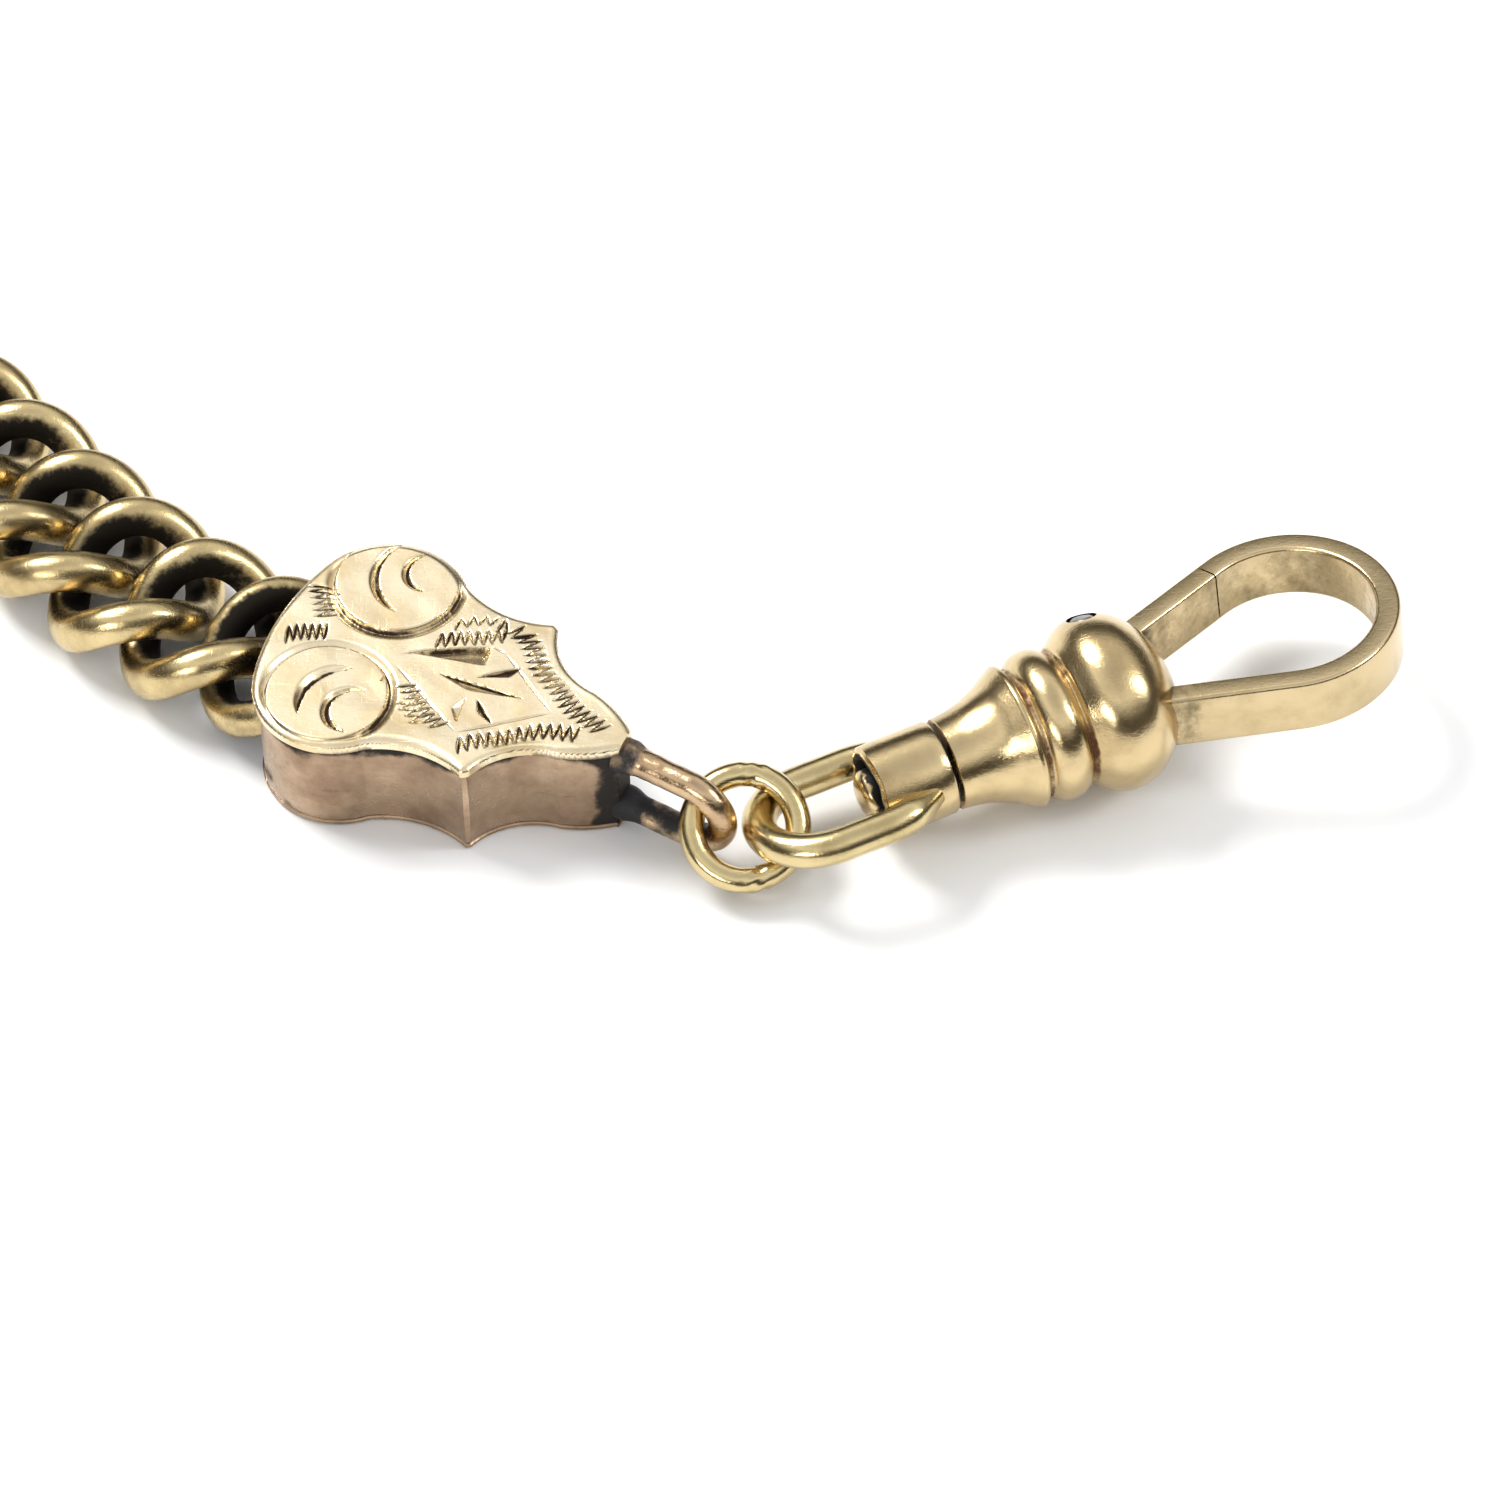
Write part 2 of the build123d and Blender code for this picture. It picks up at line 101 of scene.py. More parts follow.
def through(points, count):
    """Smooth line through a few points, by Catmull-Rom spans."""
    p = np.array(points, float)
    p = np.vstack([2 * p[0] - p[1], p, 2 * p[-1] - p[-2]])
    spans = []
    for i in range(1, len(p) - 2):
        t = np.linspace(0, 1, count, endpoint=False)[:, None]
        a, b, c, d = p[i - 1 : i + 3]
        square = (2 * a - 5 * b + 4 * c - d) * t**2
        cube = (3 * b - a - 3 * c + d) * t**3
        spans.append(0.5 * (2 * b + (c - a) * t + square + cube))
    return np.vstack(spans + [p[-2:-1]])


# ---- mesh making
def grid_faces(rows, columns, close_rows=False, close_columns=False):
    """Quads over a grid of points laid row by row; either way round can close on itself."""
    r = np.arange(rows if close_rows else rows - 1)
    c = np.arange(columns if close_columns else columns - 1)
    r, c = np.meshgrid(r, c, indexing="ij")
    r2, c2 = (r + 1) % rows, (c + 1) % columns
    quads = np.stack([r * columns + c, r * columns + c2, r2 * columns + c2, r2 * columns + c], -1)
    return [tuple(q) for q in quads.reshape(-1, 4).tolist()]


def make_piece(name, points, faces, material, body, nodes, grime_and_shade, crease=40):
    """A mesh from points in mm, riding on a body in place of CAD nodes. The grime_and_shade of
    each point drives the dirt and painted shade in its material; edges sharper than crease
    degrees stay sharp."""
    mesh = bpy.data.meshes.new(name)
    mesh.from_pydata((np.asarray(points) * MM).tolist(), [], faces)
    layer = mesh.attributes.new("grime_and_shade", "FLOAT", "POINT")
    layer.data.foreach_set("value", np.asarray(grime_and_shade, np.float32))
    mesh.validate()
    mesh.shade_smooth()
    mesh.set_sharp_from_angle(angle=math.radians(crease))
    mesh.materials.append(material)
    piece = bpy.data.objects.new(name, mesh)
    scene.collection.objects.link(piece)
    bpy.context.view_layer.update()
    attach(piece, body)
    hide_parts(*nodes)
    return piece


def tube(line, radius, sides, centre, closed=True, lumps=None):
    """Round wire along a line of 3-D points. The section starts on the side away from centre."""
    line = np.asarray(line, float)
    if closed:
        along = np.roll(line, -1, 0) - np.roll(line, 1, 0)
    else:
        along = np.gradient(line, axis=0)
    along = unit(along)
    away = line - centre
    away = unit(away - along * (away * along).sum(1, keepdims=True))
    side = np.cross(along, away)
    turn = np.linspace(0, 2 * math.pi, sides, endpoint=False)
    ring = np.cos(turn)[None, :, None] * away[:, None] + np.sin(turn)[None, :, None] * side[:, None]
    size = np.broadcast_to(np.asarray(radius, float).reshape(-1, 1), (len(line), sides)).copy()
    centres = np.broadcast_to(line[:, None], ring.shape)
    if lumps is not None:
        size += lumps((centres + ring * size[..., None]).reshape(-1, 3), line).reshape(size.shape)
    points = (centres + ring * size[..., None]).reshape(-1, 3)
    faces = grid_faces(len(line), sides, closed, True)
    if not closed:
        last = (len(line) - 1) * sides
        faces.append(tuple(range(sides)))
        faces.append(tuple(last + i for i in reversed(range(sides))))
    facing = np.broadcast_to(np.cos(turn)[None], size.shape).ravel()
    return points, faces, facing, ring.reshape(-1, 3)


def lathe(place, profile, segments):
    """Solid of revolution about the place's x. The profile runs from axis to axis."""
    profile = np.asarray(profile, float)
    turn = np.linspace(0, 2 * math.pi, segments, endpoint=False)
    body = profile[1:-1]
    x = np.repeat(body[:, 0], segments)
    r = np.repeat(body[:, 1], segments)
    t = np.tile(turn, len(body))
    rim = np.stack([x, r * np.cos(t), r * np.sin(t)], 1)
    ends = np.array([[profile[0, 0], 0, 0], [profile[-1, 0], 0, 0]])
    faces = grid_faces(len(body), segments, False, True)
    first, last = len(rim), len(rim) + 1
    tail = (len(body) - 1) * segments
    for i in range(segments):
        j = (i + 1) % segments
        faces.append((first, j, i))
        faces.append((last, tail + i, tail + j))
    local = np.vstack([rim, ends])
    return place.out(local), faces, local


# ---- materials
def aged_metal(
    name, bright, deep, grime_and_shade, roughness, patina=0.5, scratch=0.25, lump=0.0, haze=0.0,
    shine=0.3, soft=(0.32, 0.72),
):
    """Worn metal: two tones in soft patches, dirt and painted shade where the mesh's
    grime_and_shade mark says, fine scratches and pitting in roughness and bump.

    patina widens the patches, lump raises the pitting, haze dulls the deep patches, shine
    is the specular level of the dirt and painted shade, and soft is where they start and are full."""
    m = bpy.data.materials.new(name)
    m.use_nodes = True
    tree = m.node_tree
    nodes, links = tree.nodes, tree.links
    shader = nodes["Principled BSDF"]
    place = nodes.new("ShaderNodeTexCoord")

    def noise(scale, detail=4.0, rough=0.55, stretch=None, turn=None):
        source = place.outputs["Object"]
        if stretch is not None:
            mapping = nodes.new("ShaderNodeMapping")
            mapping.inputs["Scale"].default_value = stretch
            mapping.inputs["Rotation"].default_value = turn
            links.new(source, mapping.inputs["Vector"])
            source = mapping.outputs["Vector"]
        n = nodes.new("ShaderNodeTexNoise")
        n.inputs["Scale"].default_value = scale
        n.inputs["Detail"].default_value = detail
        n.inputs["Roughness"].default_value = rough
        links.new(source, n.inputs["Vector"])
        return n.outputs["Fac"]

    def math_node(operation, a, b, clamp=False):
        n = nodes.new("ShaderNodeMath")
        n.operation = operation
        n.use_clamp = clamp
        for socket, value in zip(n.inputs, (a, b)):
            if isinstance(value, (int, float)):
                socket.default_value = value
            else:
                links.new(value, socket)
        return n.outputs[0]

    def ramp(source, low, high, low_value=0.0, high_value=1.0):
        n = nodes.new("ShaderNodeMapRange")
        n.interpolation_type = "SMOOTHSTEP"
        n.inputs["From Min"].default_value = low
        n.inputs["From Max"].default_value = high
        n.inputs["To Min"].default_value = low_value
        n.inputs["To Max"].default_value = high_value
        links.new(source, n.inputs["Value"])
        return n.outputs["Result"]

    def mix(factor, a, b):
        n = nodes.new("ShaderNodeMix")
        n.data_type = "RGBA"
        links.new(factor, n.inputs[0])
        for socket, value in ((n.inputs[6], a), (n.inputs[7], b)):
            if isinstance(value, tuple):
                socket.default_value = (*value, 1)
            else:
                links.new(value, socket)
        return n.outputs[2]

    # the mesh's mark holds real dirt and painted shade alike; both darken the colour, dull the
    # metal and roughen it
    mark = nodes.new("ShaderNodeAttribute")
    mark.attribute_name = "grime_and_shade"
    patches = noise(420, 5, 0.6)
    speckle = noise(2600, 6, 0.7)
    fine = noise(9000, 3, 0.6)
    hairs = noise(900, 2, 0.5, (1, 14, 6), (0.3, 0.5, 0.7))
    cross = noise(800, 2, 0.5, (12, 1, 8), (0.9, 0.2, -0.6))
    tone = mix(ramp(patches, 0.5 - 0.2 * patina, 0.5 + 0.25), bright, deep)
    uneven = math_node(
        "ADD", math_node("MULTIPLY", speckle, 0.9), math_node("MULTIPLY", patches, 0.5)
    )
    dirt_and_shade = math_node("ADD", mark.outputs["Fac"], math_node("SUBTRACT", uneven, 0.95))
    dirt_and_shade = ramp(dirt_and_shade, *soft)
    colour = mix(dirt_and_shade, tone, grime_and_shade)
    links.new(colour, shader.inputs["Base Color"])
    shader.inputs["Specular IOR Level"].default_value = shine
    metal = math_node("SUBTRACT", 1.0, math_node("MULTIPLY", dirt_and_shade, 0.55))
    links.new(metal, shader.inputs["Metallic"])
    marks = math_node("ADD", ramp(hairs, 0.60, 0.72), ramp(cross, 0.62, 0.74), True)
    gloss = math_node("ADD", roughness, math_node("MULTIPLY", marks, scratch * 0.35))
    gloss = math_node("ADD", gloss, math_node("MULTIPLY", ramp(patches, 0.35, 0.7), 0.10 + haze))
    gloss = math_node("ADD", gloss, math_node("MULTIPLY", dirt_and_shade, 0.38), True)
    links.new(gloss, shader.inputs["Roughness"])
    height = math_node("MULTIPLY", marks, -0.5 * scratch)
    height = math_node("ADD", height, math_node("MULTIPLY", fine, 0.22))
    height = math_node("ADD", height, math_node("MULTIPLY", speckle, 0.35 + lump))
    bump = nodes.new("ShaderNodeBump")
    bump.inputs["Strength"].default_value = 0.35
    bump.inputs["Distance"].default_value = 0.00006
    links.new(height, bump.inputs["Height"])
    links.new(bump.outputs["Normal"], shader.inputs["Normal"])
    return m


# near-black for real grime and for painted shade in the chain's crevices and inside the wire loops
GRIME_AND_SHADE_BLACK = (0.012, 0.009, 0.006)
CLIP_BRIGHT, CLIP_DEEP = (0.66, 0.51, 0.28), (0.46, 0.34, 0.17)
face_gold = aged_metal(
    "face_gold", (0.90, 0.77, 0.54), (0.66, 0.52, 0.30), (0.035, 0.018, 0.010), 0.22,
    patina=0.7, scratch=0.15,
)
wall_gold = aged_metal(
    "wall_gold", (0.50, 0.36, 0.24), (0.27, 0.175, 0.11), (0.030, 0.024, 0.021), 0.24,
    patina=0.9, scratch=0.5, lump=0.3, haze=0.04, soft=(0.16, 0.86),
)
chain_gold = aged_metal(
    "chain_gold", (0.66, 0.52, 0.27), (0.42, 0.31, 0.15), GRIME_AND_SHADE_BLACK, 0.22,
    patina=0.8, lump=0.1, shine=0.15, soft=(0.10, 0.80),
)
wire_gold = aged_metal(
    "wire_gold", (0.66, 0.53, 0.28), (0.48, 0.37, 0.18), GRIME_AND_SHADE_BLACK, 0.15,
    patina=0.4, scratch=0.15, lump=0.05,
)
clip_gold = aged_metal(
    "clip_gold", CLIP_BRIGHT, CLIP_DEEP, (0.13, 0.05, 0.022), 0.17,
    patina=0.6, scratch=0.12, lump=0.05,
)
# its near-black serves as painted shade inside the barrel's open end
barrel_gold = aged_metal(
    "barrel_gold", CLIP_BRIGHT, CLIP_DEEP, (0.004, 0.004, 0.004), 0.17,
    patina=0.6, scratch=0.15, lump=0.05,
)
hook_gold = aged_metal(
    "hook_gold", (0.64, 0.50, 0.29), (0.46, 0.35, 0.18), (0.10, 0.080, 0.042), 0.19,
    scratch=0.12, lump=0.05, soft=(0.15, 1.0),
)
bail_gold = aged_metal(
    "bail_gold", (0.60, 0.43, 0.26), (0.38, 0.24, 0.14), (0.014, 0.013, 0.014), 0.14,
    patina=0.7, scratch=0.4, lump=0.5, shine=0.6, soft=(0.20, 0.90),
)
pin_steel = aged_metal(
    "pin_steel", (0.34, 0.33, 0.32), (0.20, 0.19, 0.18), GRIME_AND_SHADE_BLACK, 0.34,
    patina=0.6, scratch=0.5, lump=0.1,
)

# ---- curb chain
# The first and last links sit in the terminals and are thinner, wider and flatter.
WIRE, END_WIRE = 1.65, 1.45
LINK_LENGTH = 2.80  # half the wire's centre line, end to end
LINK_WIDTH, END_LINK_WIDTH = 3.10, 3.15  # half of it across
LINK_TWIST, END_LINK_TWIST = 44, 32
WIRE_SIDES = 28
PITCH = 3.70
LINK_COUNT = 34
CHAIN_HEIGHT = 1.99
FRONT_YAW = -25.0
TERMINAL_LENGTH = 14.9
front_angle = math.radians(FRONT_YAW)
TIP_FROM_ORIGIN = 9
front_place = Place(
    (TIP_FROM_ORIGIN * math.cos(front_angle), TIP_FROM_ORIGIN * math.sin(front_angle), 0), FRONT_YAW
)


def stations():
    """Centre and heading of every link, as the CAD lays them."""
    bends = [0.0, -7.5, -7.5, -7.5, 0.0, 0.0] + [8.1] * 17
    bends += [0.0] * (LINK_COUNT - len(bends))
    heading = FRONT_YAW + 180
    x, y, _ = front_place.out([-TERMINAL_LENGTH + 0.05, 0, 0])
    found = []
    for bend in bends:
        if found:
            for step in (0, bend):
                heading += step
                x += PITCH / 2 * math.cos(math.radians(heading))
                y += PITCH / 2 * math.sin(math.radians(heading))
        found.append((x, y, heading))
    return found


def link_line(width, twist, count=112):
    """Centre line of a curb link: an oval twisted about its long axis."""
    t = np.linspace(0, 2 * math.pi, count, endpoint=False)
    turn = -math.radians(twist) * np.cos(t)
    x = LINK_LENGTH * np.cos(t)
    return np.stack([x, width * np.sin(t) * np.cos(turn), width * np.sin(t) * np.sin(turn)], 1)


STATIONS = stations()
for number, (x, y, heading) in enumerate(STATIONS, start=1):
    at_end = number in (1, LINK_COUNT)
    line = link_line(*((END_LINK_WIDTH, END_LINK_TWIST) if at_end else (LINK_WIDTH, LINK_TWIST)))
    place = Place((x, y, CHAIN_HEIGHT), heading + 180)
    rng = np.random.default_rng(number)
    wire = (END_WIRE if at_end else WIRE) / 2 * (1 + 0.01 * rng.uniform(-1, 0.2))
    local, faces, facing, outward = tube(line, wire, WIRE_SIDES, np.zeros(3))
    # wear: the outer faces are rubbed a little flat
    flat = 0.05 * smooth(facing, 0.75, 1.0)[:, None] * outward
    local = local - flat
    points = place.out(local)
    upward = (outward @ place.axes)[:, 2]
    # painted shade: the inner half of each wire, its underside and the faces crossed by the
    # neighbouring links are darkened, with some real grime in these crevices; the dark underside is
    # a painted reflection of the chain's dark inside
    inner = smooth(-facing, -0.35, 0.75)
    underside_shade = smooth(-upward, 0.1, 0.9)
    between_links_shade = smooth(np.abs(local[:, 1]), 2.9, 1.4) * smooth(-facing, -0.9, 0.2)
    grime_and_shade = 0.85 * inner + 0.45 * underside_shade + 0.40 * between_links_shade
    grime_and_shade += 0.10 * ripple(points, 3.0, number) * (inner + between_links_shade)
    # the end links sit inside the terminals, under the face, and get painted shade
    if at_end:
        grime_and_shade += 0.45
    make_piece(
        "curb_link_%02d" % number, points, faces, chain_gold, "link_%02d" % number,
        ["chain_link_%02d" % number], grime_and_shade, 38,
    )

# ---- engraved terminal
OVERHANG = 0.12  # how far the face stands out past the wall
WALL = 0.30  # thickness of the side wall
BACK = 0.30  # level of the back plate's upper side
PLATE_LIP = 0.03  # how far the back plate stands out past the wall
FACE_BOTTOM = 4.50
FACE_TOP = 4.98
RELIEF = 5.10  # top of the raised scroll discs


def half_outline():
    """Upper half of the shield's edge, from the chain side to the tip."""
    start = -TERMINAL_LENGTH + 0.55
    head = arc_points((start, -3.3), (-TERMINAL_LENGTH, 0), (start, 3.3), 121)[60:]
    lobe = arc_points((start, 3.3), (-11.6, 5.38), (-9.0, 4.4), 90)
    waist = arc_points((-9.0, 4.4), (-7.1, 3.75), (-5.05, 4.05), 60)
    point = through([(-5.05, 4.05), (-4.93, 4.02), (-4.75, 3.88)], 6)
    scoop = arc_points((-4.75, 3.88), (-3.8, 2.4), (-2.1, 1.66), 60)
    neck = arc_points((-2.1, 1.66), (-0.85, 1.12), (0, 0.5), 40)
    return np.vstack([head, lobe[1:], waist[1:], point[1:], scoop[1:], neck[1:]])


HALF = half_outline()


def closed_outline(inset):
    """The whole edge, counter-clockwise, moved inwards."""
    loop = np.vstack([HALF[::-1], (HALF * [1, -1])[1:]])
    along = unit(np.roll(loop, -1, 0) - np.roll(loop, 1, 0))
    inward = np.stack([-along[:, 1], along[:, 0]], 1)
    return loop + inward * inset


def edge_distance(points):
    """Distance of plan points to the shield's edge."""
    edge = np.vstack([HALF, HALF * [1, -1]])
    best = np.full(len(points), 9.0)
    for part in np.array_split(np.arange(len(points)), 24):
        gap = points[part][:, None] - edge[None]
        best[part] = np.sqrt((gap**2).sum(-1).min(1))
    return best


class Relief:
    """Height and dirt of the engraved face over a set of plan points."""

    def __init__(self, points):
        self.points = points
        self.height = np.zeros(len(points))
        self.dirt_and_shade = np.zeros(len(points))

    def groove(self, line, width, depth, taper=True, dirt_and_shade=1.0):
        """A V cut along a line of plan points, as wide as width at its middle."""
        line = np.asarray(line, float)
        lengths = np.r_[0, np.cumsum(np.linalg.norm(np.diff(line, axis=0), axis=1))]
        for a, b, la, lb in zip(line[:-1], line[1:], lengths[:-1], lengths[1:]):
            low, high = np.minimum(a, b) - width, np.maximum(a, b) + width
            near = np.where(((self.points > low) & (self.points < high)).all(1))[0]
            if not len(near) or lb <= la:
                continue
            p = self.points[near]
            t = np.clip(((p - a) @ (b - a)) / (lb - la) ** 2, 0, 1)
            gap = np.linalg.norm(p - (a + t[:, None] * (b - a)), axis=1)
            share = (la + t * (lb - la)) / lengths[-1]
            wide = width * (np.sin(math.pi * np.clip(share, 0.02, 0.98)) ** 0.6 if taper else 1)
            cut = np.clip(1 - gap / wide, 0, 1)
            self.height[near] = np.minimum(self.height[near], -depth * cut * wide / width)
            self.dirt_and_shade[near] = np.maximum(self.dirt_and_shade[near], dirt_and_shade * smooth(cut, -0.1, 0.55))

    def crescent(self, centre, radius, start, stop, width, depth):
        """A curl cut whose inner edge is steep and whose outer side slopes."""
        offset = self.points - centre
        r = np.linalg.norm(offset, axis=1)
        angle = np.degrees(np.arctan2(offset[:, 1], offset[:, 0]))
        t = ((angle - start) % 360) / ((stop - start) % 360)
        wide = width * np.sin(math.pi * np.clip(t, 0, 1)) ** 0.75
        across = (r - radius + wide / 2) / np.maximum(wide, 1e-6)
        inside = (t > 0) & (t < 1) & (across > 0) & (across < 1)
        fall = smooth(across, 0, 0.16) * (1 - smooth(across, 0.10, 1.0))
        cut = depth * fall * np.sin(math.pi * np.clip(t, 0, 1)) ** 0.4
        self.height = np.where(inside, np.minimum(self.height, self.height - cut), self.height)
        dark = np.maximum(self.dirt_and_shade, smooth(fall, 0.25, 0.85))
        self.dirt_and_shade = np.where(inside, dark, self.dirt_and_shade)

    def facet(self, a, b, c, depth, dirt_and_shade=0.4):
        """A sloping cut over the triangle abc, deepest along ab and level at c."""
        a, b, c = (np.array(p, float) for p in (a, b, c))
        basis = np.array([b - a, c - a]).T
        u, v = np.linalg.solve(basis, (self.points - a).T)
        inside = (u > 0) & (v > 0) & (u + v < 1)
        cut = depth * (1 - v) * smooth(u, 0, 0.15) * smooth(1 - u - v, 0, 0.10)
        self.height = np.where(inside, np.minimum(self.height, -cut), self.height)
        dark = np.maximum(self.dirt_and_shade, dirt_and_shade * smooth(1 - v, 0.55, 1.0))
        self.dirt_and_shade = np.where(inside, dark, self.dirt_and_shade)

    def zigzag(self, path, reach, teeth, lean=0.0, width=0.085, depth=0.16):
        """A row of wriggle cuts across a path, leaning along it."""
        path = through(path, 24)
        lengths = np.r_[0, np.cumsum(np.linalg.norm(np.diff(path, axis=0), axis=1))]
        s = np.linspace(0, lengths[-1], 2 * teeth)
        line = np.stack([np.interp(s, lengths, path[:, k]) for k in (0, 1)], 1)
        along = unit(np.gradient(line, axis=0))
        across = np.stack([-along[:, 1], along[:, 0]], 1)
        sign = np.where(np.arange(2 * teeth) % 2, 1.0, -1.0)[:, None]
        uneven = 1 + 0.14 * np.sin(np.arange(2 * teeth) * 2.7)[:, None]
        line = line + sign * uneven * (across * reach + along * lean)
        for a, b in zip(line[:-1], line[1:]):
            heavy = 1.0 if b[1] > a[1] else 0.72
            self.groove([a, (a + b) / 2, b], width * heavy, depth * heavy)


def engrave(points):
    """The shield's engraving, in mm from the terminal's tip, x back towards the chain."""
    r = Relief(points)
    # two raised scroll discs and the cut that sets each one off
    for centre, radius in (((-11.45, 3.32), 2.45), ((-11.35, -2.80), 2.36)):
        gap = np.linalg.norm(points - centre, axis=1) - radius
        ring = smooth(gap, -0.05, 0.07) * (1 - smooth(gap, 0.06, 0.42))
        facing_out = smooth(np.abs(points[:, 1]), 5.0, 3.6)
        r.height += (RELIEF - FACE_TOP) * (1 - smooth(gap, -0.06, 0.04))
        r.height -= 0.17 * ring * facing_out
        r.dirt_and_shade = np.maximum(r.dirt_and_shade, 0.95 * smooth(-np.abs(gap - 0.04), -0.10, -0.02) * facing_out)
        r.dirt_and_shade = np.maximum(r.dirt_and_shade, 0.36 * ring * facing_out)
    r.crescent((-10.60, 3.95), 2.00, 138, 262, 0.46, 0.30)
    r.crescent((-10.55, 4.25), 0.95, 125, 285, 0.36, 0.26)
    r.crescent((-10.55, -3.05), 1.78, 105, 222, 0.62, 0.30)
    r.crescent((-10.05, -3.20), 1.10, 92, 285, 0.46, 0.28)
    r.crescent((-9.9, -3.05), 2.25, 150, 205, 0.20, 0.12)
    # wriggle work
    r.zigzag([(-14.20, 1.95), (-13.75, 1.35), (-13.10, 0.72)], 0.50, 6, 0.06)
    r.zigzag([(-14.20, -0.85), (-13.50, -0.35), (-12.85, 0.10)], 0.46, 6, 0.06)
    r.zigzag([(-8.75, 1.35), (-8.00, 1.75), (-7.20, 2.30), (-6.40, 2.75)], 0.42, 8, 0.05)
    r.zigzag([(-8.45, 2.35), (-7.80, 2.85), (-7.05, 3.20)], 0.26, 4, 0.06, 0.06)
    r.zigzag([(-6.95, 3.00), (-6.30, 3.15), (-5.75, 2.75)], 0.42, 3)
    r.zigzag(
        [(-5.85, 3.05), (-4.90, 2.25), (-3.95, 1.45), (-3.00, 0.85), (-2.00, 0.40), (-1.05, -0.02)],
        0.47, 17, 0.05,
    )
    r.zigzag(
        [(-5.70, -3.00), (-4.75, -2.20), (-3.75, -1.40), (-2.70, -0.85), (-1.75, -0.45)],
        0.45, 13, 0.05,
    )
    r.zigzag([(-8.85, -1.10), (-8.15, -1.65), (-7.45, -2.05), (-6.70, -2.40)], 0.40, 8, 0.05)
    r.zigzag([(-8.60, -1.95), (-8.05, -2.35), (-7.50, -2.65)], 0.28, 4, 0.06, 0.06)
    # panel with leaf cuts
    rim = [
        (-9.80, 0.20), (-6.55, 1.95), (-6.05, 1.88), (-3.15, 0.02), (-6.05, -2.42),
        (-9.70, -0.35),
    ]
    for a, b in zip(rim[:-1], rim[1:]):
        r.groove([a, ((a[0] + b[0]) / 2, (a[1] + b[1]) / 2), b], 0.06, 0.06, True, 0.65)
    r.facet((-9.55, 0.38), (-6.60, 1.92), (-6.35, 0.95), 0.26, 0.34)
    r.facet((-7.95, -0.10), (-4.45, 0.16), (-6.6, -0.42), 0.14, 0.15)
    r.facet((-6.45, 0.36), (-5.12, 1.50), (-5.35, 0.85), 0.22, 0.40)
    r.facet((-6.02, -0.62), (-4.98, -1.45), (-5.75, -1.20), 0.20, 0.40)
    r.facet((-6.45, -0.72), (-6.25, -1.95), (-6.75, -1.40), 0.16, 0.4)
    r.groove([(-7.95, -0.10), (-6.20, 0.0), (-4.45, 0.16)], 0.09, 0.20)
    r.groove([(-6.45, 0.36), (-5.75, 0.95), (-5.12, 1.50)], 0.09, 0.20)
    r.groove([(-6.02, -0.62), (-5.50, -1.08), (-4.98, -1.45)], 0.08, 0.18)
    r.groove([(-9.55, 0.38), (-8.10, 1.15), (-6.60, 1.92)], 0.08, 0.18)
    return r


